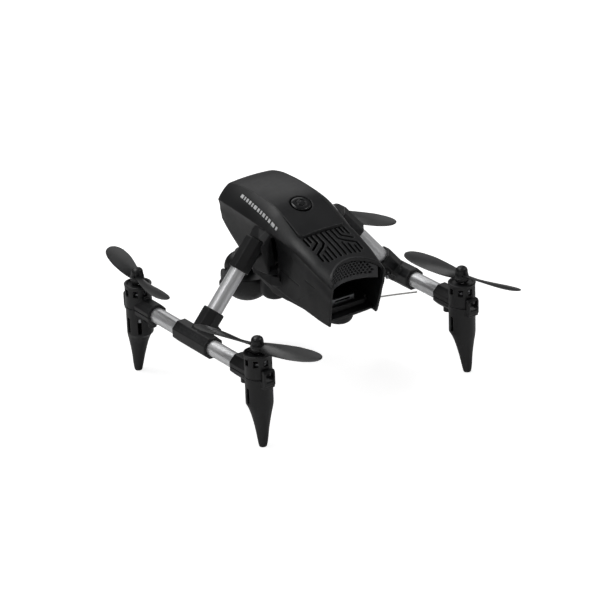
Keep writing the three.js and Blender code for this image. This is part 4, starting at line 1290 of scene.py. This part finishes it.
def make_neck():
    centres = ((0, 34.6, 63.8), (0, 41.0, 55.4), (0, 34.6, 60.5))
    flange = [(0, 6.7), (0.3, 7.0), (0.9, 7.0), (1.2, 6.6), (2.0, 5.2), (3.4, 4.6)]
    return largest(combine(
        hull([point for centre in centres for point in ring(centre, UP, 4.6, 40)]),
        add(lathe((0, 41.0, 52.6), UP, flange)),
        cut(lowered(pan_bare, 0.3), lowered(form, 0.3)),
    ))


# The bar of the yoke and the top of its cheek, right side
YOKE_BAR = [
    (4, 37.5, 49.8), (4, 44.5, 49.8), (4, 37.5, 52.0), (4, 44.5, 52.0), (14.6, 34.6, 48.0),
    (14.6, 39.6, 47.4), (16.2, 34.6, 48.0), (16.2, 39.6, 47.4), (14.6, 35.4, 50.6),
    (14.6, 39.2, 50.4),
]
YOKE_CHEEK = [(14.6, 34.6, 48.4), (16.2, 34.9, 48.0), (14.6, 39.6, 48.4), (16.2, 39.3, 48.0)]


def make_yoke():
    steps = []
    for side in SIDES:
        foot = [
            point for x, radius in ((14.6, 3.2), (16.0, 3.1), (16.2, 2.9))
            for point in ring((side * x, BALL[1] - 0.6, TILT_Z + 0.4), (1, 0, 0), radius, 40)
        ]
        steps.append(add(hull(sided(side, YOKE_BAR)), hull(sided(side, YOKE_CHEEK) + foot)))
        steps.append(cut(tilt_rod(side, 12, 20, TILT_HOLE_R)))
    disc = lathe((0, 42.5, 49.8), UP, [(0, 7.7), (0.3, 8.0), (2.1, 8.0), (2.4, 7.7)])
    return largest(combine(disc, *steps))


neck = soften(make_neck(), voxel=0.25, rounds=3, keep=0.6)
piece("neck_gimbal", neck, "frame", "airframe", "frame", "gimbal_neck")
yoke = soften(make_yoke(), voxel=0.22, rounds=3, keep=0.6)
piece("yoke_gimbal", yoke, "frame", "airframe", "frame", "gimbal_yoke")

LENS_DIR = unit((0, 1, 0.12))


def on_lens(distance):
    return LENS + LENS_DIR * distance


def make_bowl():
    """A ball cut flat on top, in front and at both sides, bored for the barrel."""
    profile = []
    for i in range(49):
        t = math.pi * i / 48
        profile.append((BALL_R * (1 - math.cos(t)), max(BALL_R * math.sin(t), 0.02)))
    radius = BALL_R + 0.12
    parting = [
        BALL + np.array([0, math.cos(angle) * radius, math.sin(angle) * radius])
        for angle in np.linspace(math.pi * 1.02, math.pi * 1.72, 40)
    ]
    return largest(combine(
        lathe(BALL - np.array([0, 0, BALL_R]), UP, profile, 96),
        cut(box(-20, 20, 20, 70, 39.8, 60), box(14.2, 20, 20, 70, 10, 60)),
        cut(box(-20, -14.2, 20, 70, 10, 60), box(-20, 20, 56.2, 70, 10, 60)),
        cut(rod(on_lens(-9.3), on_lens(12), 7.5, 72)),
        cut(*(tilt_rod(side, 9, 20, TILT_HOLE_R) for side in SIDES)),
        cut(bar_along(parting, 0.32, 10)),
    ))


bowl = soften(make_bowl(), voxel=0.24, rounds=3, keep=0.6)
piece("bowl_camera", bowl, "frame", "camera", "frame", "camera_ball")

BARREL = [
    (0, 4.2), (0.5, 5.2), (1.2, 5.9), (2.2, 6.6), (3.4, 7.0), (4.4, 7.15), (5.4, 7.2),
    (7.4, 7.2), (7.5, 7.05), (7.8, 7.05), (7.9, 7.2), (8.6, 7.2), (8.7, 7.05), (9.0, 7.05),
    (9.1, 7.2), (11.6, 7.2), (12.4, 7.12), (13.0, 6.92), (13.6, 6.6), (14.2, 6.1),
    (14.5, 5.75), (14.6, 5.4),
]
# The mouth steps down in rings towards the glass
MOUTH = [
    (0, 4.1), (0.5, 4.1), (0.55, 4.35), (0.9, 4.35), (0.95, 4.6), (1.25, 4.6), (1.3, 4.85),
    (10, 5.2),
]
barrel = combine(
    lathe(on_lens(-9), LENS_DIR, BARREL, 96), cut(lathe(on_lens(4.0), LENS_DIR, MOUTH, 96)),
)
piece("barrel_lens", barrel, "lens", "camera", "lens", "lens_barrel", angle=35)
glass_profile = [(0, 3.75)] + [
    (0.5 + 1.35 * math.sin(t), 3.75 * math.cos(t)) for t in np.linspace(0, math.pi / 2, 14)
]
glass = lathe(on_lens(4.1), LENS_DIR, glass_profile)
piece("glass_lens", glass, "glass", "camera", "glass", "lens_glass", angle=40)

PIN = [(0, 1.2), (0.2, 1.4), (6.6, 1.4), (6.85, 1.25), (6.95, 1.0)]
for tag, side in (("left", -1), ("right", 1)):
    pin = lathe((side * 9.4, BALL[1], TILT_Z), (side, 0, 0), PIN, 40)
    pin = combine(pin, cut(tilt_rod(side, 16.0, 17.0, 0.6, 6)))
    piece("pin_tilt_" + tag, pin, "steel", "airframe", "fittings", "tilt_pin_" + tag, angle=35)

# ---------------------------------------------------------------------------
# Inside the body
# ---------------------------------------------------------------------------
tray = combine(
    box(-13.8, 13.8, -38.2, 0, 48.5, 50),
    add(box(-13.8, 11.6, -39.2, -37.9, 47.9, 50.7), box(-13.8, 13.8, -1.4, 0, 48.5, 63.4)),
    add(box(-13.8, -12.6, -37.5, 0, 49.5, 51.6), box(12.6, 13.8, -37.5, 0, 49.5, 51.6)),
    add(*(box(x - 0.4, x + 0.4, -33, -4, 49.8, 50.5) for x in (-8, -4, 4, 8))),
)
tray = soften(tray, voxel=0.30, rounds=2, keep=0.5)
piece("tray_bay", tray, "bay", "airframe", "bay", "bay_tray")

latch = combine(
    box(-7.25, 7.25, -36.4, -35.2, 50.3, 53.7),
    add(box(-7.25, 7.25, -35.4, -31.5, 50.3, 51.2)),
    cut(box(-4.5, 4.5, -37, -34.8, 51.9, 52.7)),
)
latch = soften(latch, voxel=0.18, rounds=2, keep=0.7)
piece("latch_bay", latch, "dark_steel", "airframe", "fittings", "bay_latch")

contacts = combine(
    box(-6, 6, -5.4, -1.8, 54, 60),
    add(*(box(x - 0.5, x + 0.5, -7.6, -5, 55.6, 58.4) for x in (-4.1, 0, 4.1))),
)
contacts = soften(contacts, voxel=0.16, rounds=2, keep=0.6)
piece("contacts_bay", contacts, "brass", "airframe", "contacts", "bay_contacts")

board = combine(
    box(-12.4, 12.4, -9.5, 26, 83.2, 84.6),
    add(box(-6, 6, 8, 18, 84.4, 86.6), box(-9, -5, -8, -4, 84.4, 85.6)),
    add(box(4, 9, -1, 3, 84.4, 86.0)),
    add(*(box(x, x + 1.2, 20, 22.4, 84.4, 85.3) for x in (-9, -6, -3, 0, 3, 6))),
    cut(*(post(82, 88, 1.0, 24, x=side * 10.6, y=y) for side in SIDES for y in (-7, 24))),
)
board = soften(board, voxel=0.25, rounds=1, keep=0.5)
piece("board_main", board, "board", "airframe", "board", "main_board")

switch = combine(
    box(-2.6, 2.6, -5.0, 0.2, 84.9, 86.2),
    add(rod((0, on_button(-7.2)[1], 86), on_button(-6.9), 1.3, 32)),
)
switch = soften(switch, voxel=0.14, rounds=2, keep=0.6)
piece("switch_button", switch, "steel", "airframe", "fittings", "button_switch")

# ---------------------------------------------------------------------------
# White dashes on the shoulders
# ---------------------------------------------------------------------------
DASH_Y, DASH_GAP, DASH_WIDTH = 23.2, 0.98, 0.15  # the width is a share of the shoulder
DASHES = [2.3, 1.1, 1.5, 1.5, 1.1, 2.3, 1.5, 1.1, 1.9, 1.1, 1.5, 2.3, 1.1]


def shoulder_point(y, share, lift):
    """A point over the shoulder: share runs from 0 at the top edge to 1 at the widest line."""
    def on_surface(y, share):
        run = np.array(half_section(y)[TOP_EDGE:WIDEST + 1])
        steps = np.linalg.norm(np.diff(run, axis=0), axis=1)
        distance = np.concatenate([[0], np.cumsum(steps)])
        x, z = (np.interp(share * distance[-1], distance, run[:, k]) for k in (0, 1))
        return np.array([x, y, z])

    point = on_surface(y, share)
    normal = unit(np.cross(on_surface(y - 0.4, share) - point, on_surface(y, share + 0.02) - point))
    if normal[0] < 0:
        normal = -normal
    return point + normal * lift


def dash(side, y0, y1):
    """A thin plate that follows the shoulder, sunk a little into it."""
    rows, columns = max(4, int((y0 - y1) / 0.4)), 5
    width, layer = columns + 1, (rows + 1) * (columns + 1)
    verts, faces = [], []
    for lift in (-0.12, 0.07):
        for i in range(rows + 1):
            y = lerp(y0, y1, i / rows)
            middle = lerp(0.36, 0.63, (23.0 - y) / 32.0)
            for j in range(columns + 1):
                share = middle + DASH_WIDTH * (j / columns - 0.5)
                verts += sided(side, [shoulder_point(y, share, lift)])

    def wall(a, b, forward):
        if forward:
            return (a, b, layer + b, layer + a)
        return (a, layer + a, layer + b, b)

    for i in range(rows):
        for j in range(columns):
            a = i * width + j
            faces.append((a, a + 1, a + width + 1, a + width))
            faces.append(tuple(layer + k for k in (a, a + width, a + width + 1, a + 1)))
    for i in range(rows):
        for j in (0, columns):
            faces.append(wall(i * width + j, (i + 1) * width + j, forward=j == 0))
    for j in range(columns):
        for i in (0, rows):
            faces.append(wall(i * width + j, i * width + j + 1, forward=i != 0))
    return closed(verts, faces)


for tag, side in (("left", -1), ("right", 1)):
    marks = []
    y = DASH_Y
    for length in DASHES:
        marks.append(dash(side, y, y - length))
        y -= length + DASH_GAP
    piece("marks_" + tag, joined(marks), "ink", "airframe", "shell", angle=40)

# Any node that nothing replaces keeps its own shape
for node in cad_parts.values():
    if not node.hide_render:
        node.data.materials.clear()
        node.data.materials.append(MATERIALS["frame"])

# ---------------------------------------------------------------------------
# World, floor, lights and camera, in metres
# ---------------------------------------------------------------------------
scene.view_settings.view_transform = "Standard"
scene.view_settings.look = "None"
scene.view_settings.exposure = 0.0
scene.view_settings.gamma = 1.0


def make_world():
    """White to the camera; a dim light, brighter from above, to everything else."""
    world = bpy.data.worlds.new("studio")
    scene.world = world
    world.use_nodes = True
    graph = Graph(world.node_tree)
    output = graph.add("ShaderNodeOutputWorld")
    mixer = graph.add("ShaderNodeMixShader")
    seen = graph.add("ShaderNodeBackground")
    graph.put(seen, "Color", (1, 1, 1, 1))
    graph.put(seen, "Strength", 1.0)
    lit = graph.add("ShaderNodeBackground")
    graph.put(lit, "Strength", 0.16)
    split = graph.add("ShaderNodeSeparateXYZ")
    graph.put(split, 0, graph.add("ShaderNodeTexCoord").outputs["Generated"])
    rise = graph.ramp(split.outputs[2], start=-0.2, end=0.9, low=0.25)
    graph.put(lit, "Color", graph.mix(rise, (0.0, 0.0, 0.0), (1.0, 1.0, 1.0)))
    graph.put(mixer, 0, graph.add("ShaderNodeLightPath").outputs["Is Camera Ray"])
    graph.put(mixer, 1, lit.outputs[0])
    graph.put(mixer, 2, seen.outputs[0])
    graph.put(output, 0, mixer.outputs[0])


def floor_material():
    """Pale and matt, with a glow that only the camera sees."""
    look = Look("floor_pale")
    slow = look.noise(scale=3.0)
    look.set("Base Color", look.mix(look.ramp(slow), (0.80, 0.80, 0.80), (0.82, 0.82, 0.82)))
    look.set("Roughness", 0.9)
    look.set("Specular IOR Level", 0.1)
    look.set("Emission Color", (1, 1, 1, 1))
    camera_ray = look.add("ShaderNodeLightPath").outputs["Is Camera Ray"]
    look.set("Emission Strength", look.calc("MULTIPLY", camera_ray, 0.78))
    return look.material


def make_floor(cells=24, size=8.0, z=-0.0002):
    work = bmesh.new()
    grid = {}
    for i in range(cells + 1):
        for j in range(cells + 1):
            place = ((i / cells - 0.5) * size, (j / cells - 0.5) * size, z)
            grid[i, j] = work.verts.new(place)
    for i in range(cells):
        for j in range(cells):
            work.faces.new((grid[i, j], grid[i + 1, j], grid[i + 1, j + 1], grid[i, j + 1]))
    mesh = bpy.data.meshes.new("floor")
    work.to_mesh(mesh)
    work.free()
    floor = bpy.data.objects.new("floor", mesh)
    mesh.materials.append(floor_material())
    scene.collection.objects.link(floor)


def softbox(name, place, aim_z, size, power):
    """A rectangular light aimed at a point on the z axis."""
    data = bpy.data.lights.new(name, "AREA")
    data.shape = "RECTANGLE"
    data.size, data.size_y = size
    data.energy = power
    light = bpy.data.objects.new(name, data)
    light.location = place
    light.rotation_mode = "QUATERNION"
    aim = Vector((0, 0, aim_z)) - Vector(place)
    light.rotation_quaternion = aim.to_track_quat("-Z", "Y")
    scene.collection.objects.link(light)


def make_camera():
    data = bpy.data.cameras.new("camera")
    data.lens = 177.17
    data.sensor_width = 36.0
    data.sensor_fit = "HORIZONTAL"
    data.clip_start, data.clip_end = 0.05, 20.0
    camera = bpy.data.objects.new("camera", data)
    scene.collection.objects.link(camera)
    place = (-0.7715, -1.0838, 0.6536)
    right = unit([0.8065, -0.5904, -0.0318])
    up = np.array([0.2703, 0.3204, 0.9079])
    up = unit(up - right * np.dot(right, up))
    back = np.cross(right, up)
    camera.matrix_world = Matrix([*zip(right, up, back, place), (0, 0, 0, 1)])
    scene.camera = camera


make_world()
make_floor()
softbox("key", place=(-0.35, 0.55, 1.35), aim_z=0.05, size=(1.0, 0.8), power=7.5)
softbox("front", place=(0.62, 1.15, 0.88), aim_z=0.08, size=(0.9, 0.7), power=1.5)
softbox("side_left", place=(-1.25, -0.15, 1.0), aim_z=0.06, size=(0.5, 0.7), power=2.0)
softbox("side_right", place=(1.3, -0.2, 0.65), aim_z=0.06, size=(0.5, 0.9), power=0.8)
softbox("edge", place=(0.74, -0.56, 1.04), aim_z=0.08, size=(0.30, 0.30), power=1.8)
softbox("rear_fill", place=(-0.4, -1.4, 1.2), aim_z=0.06, size=(0.9, 0.5), power=0.6)
make_camera()
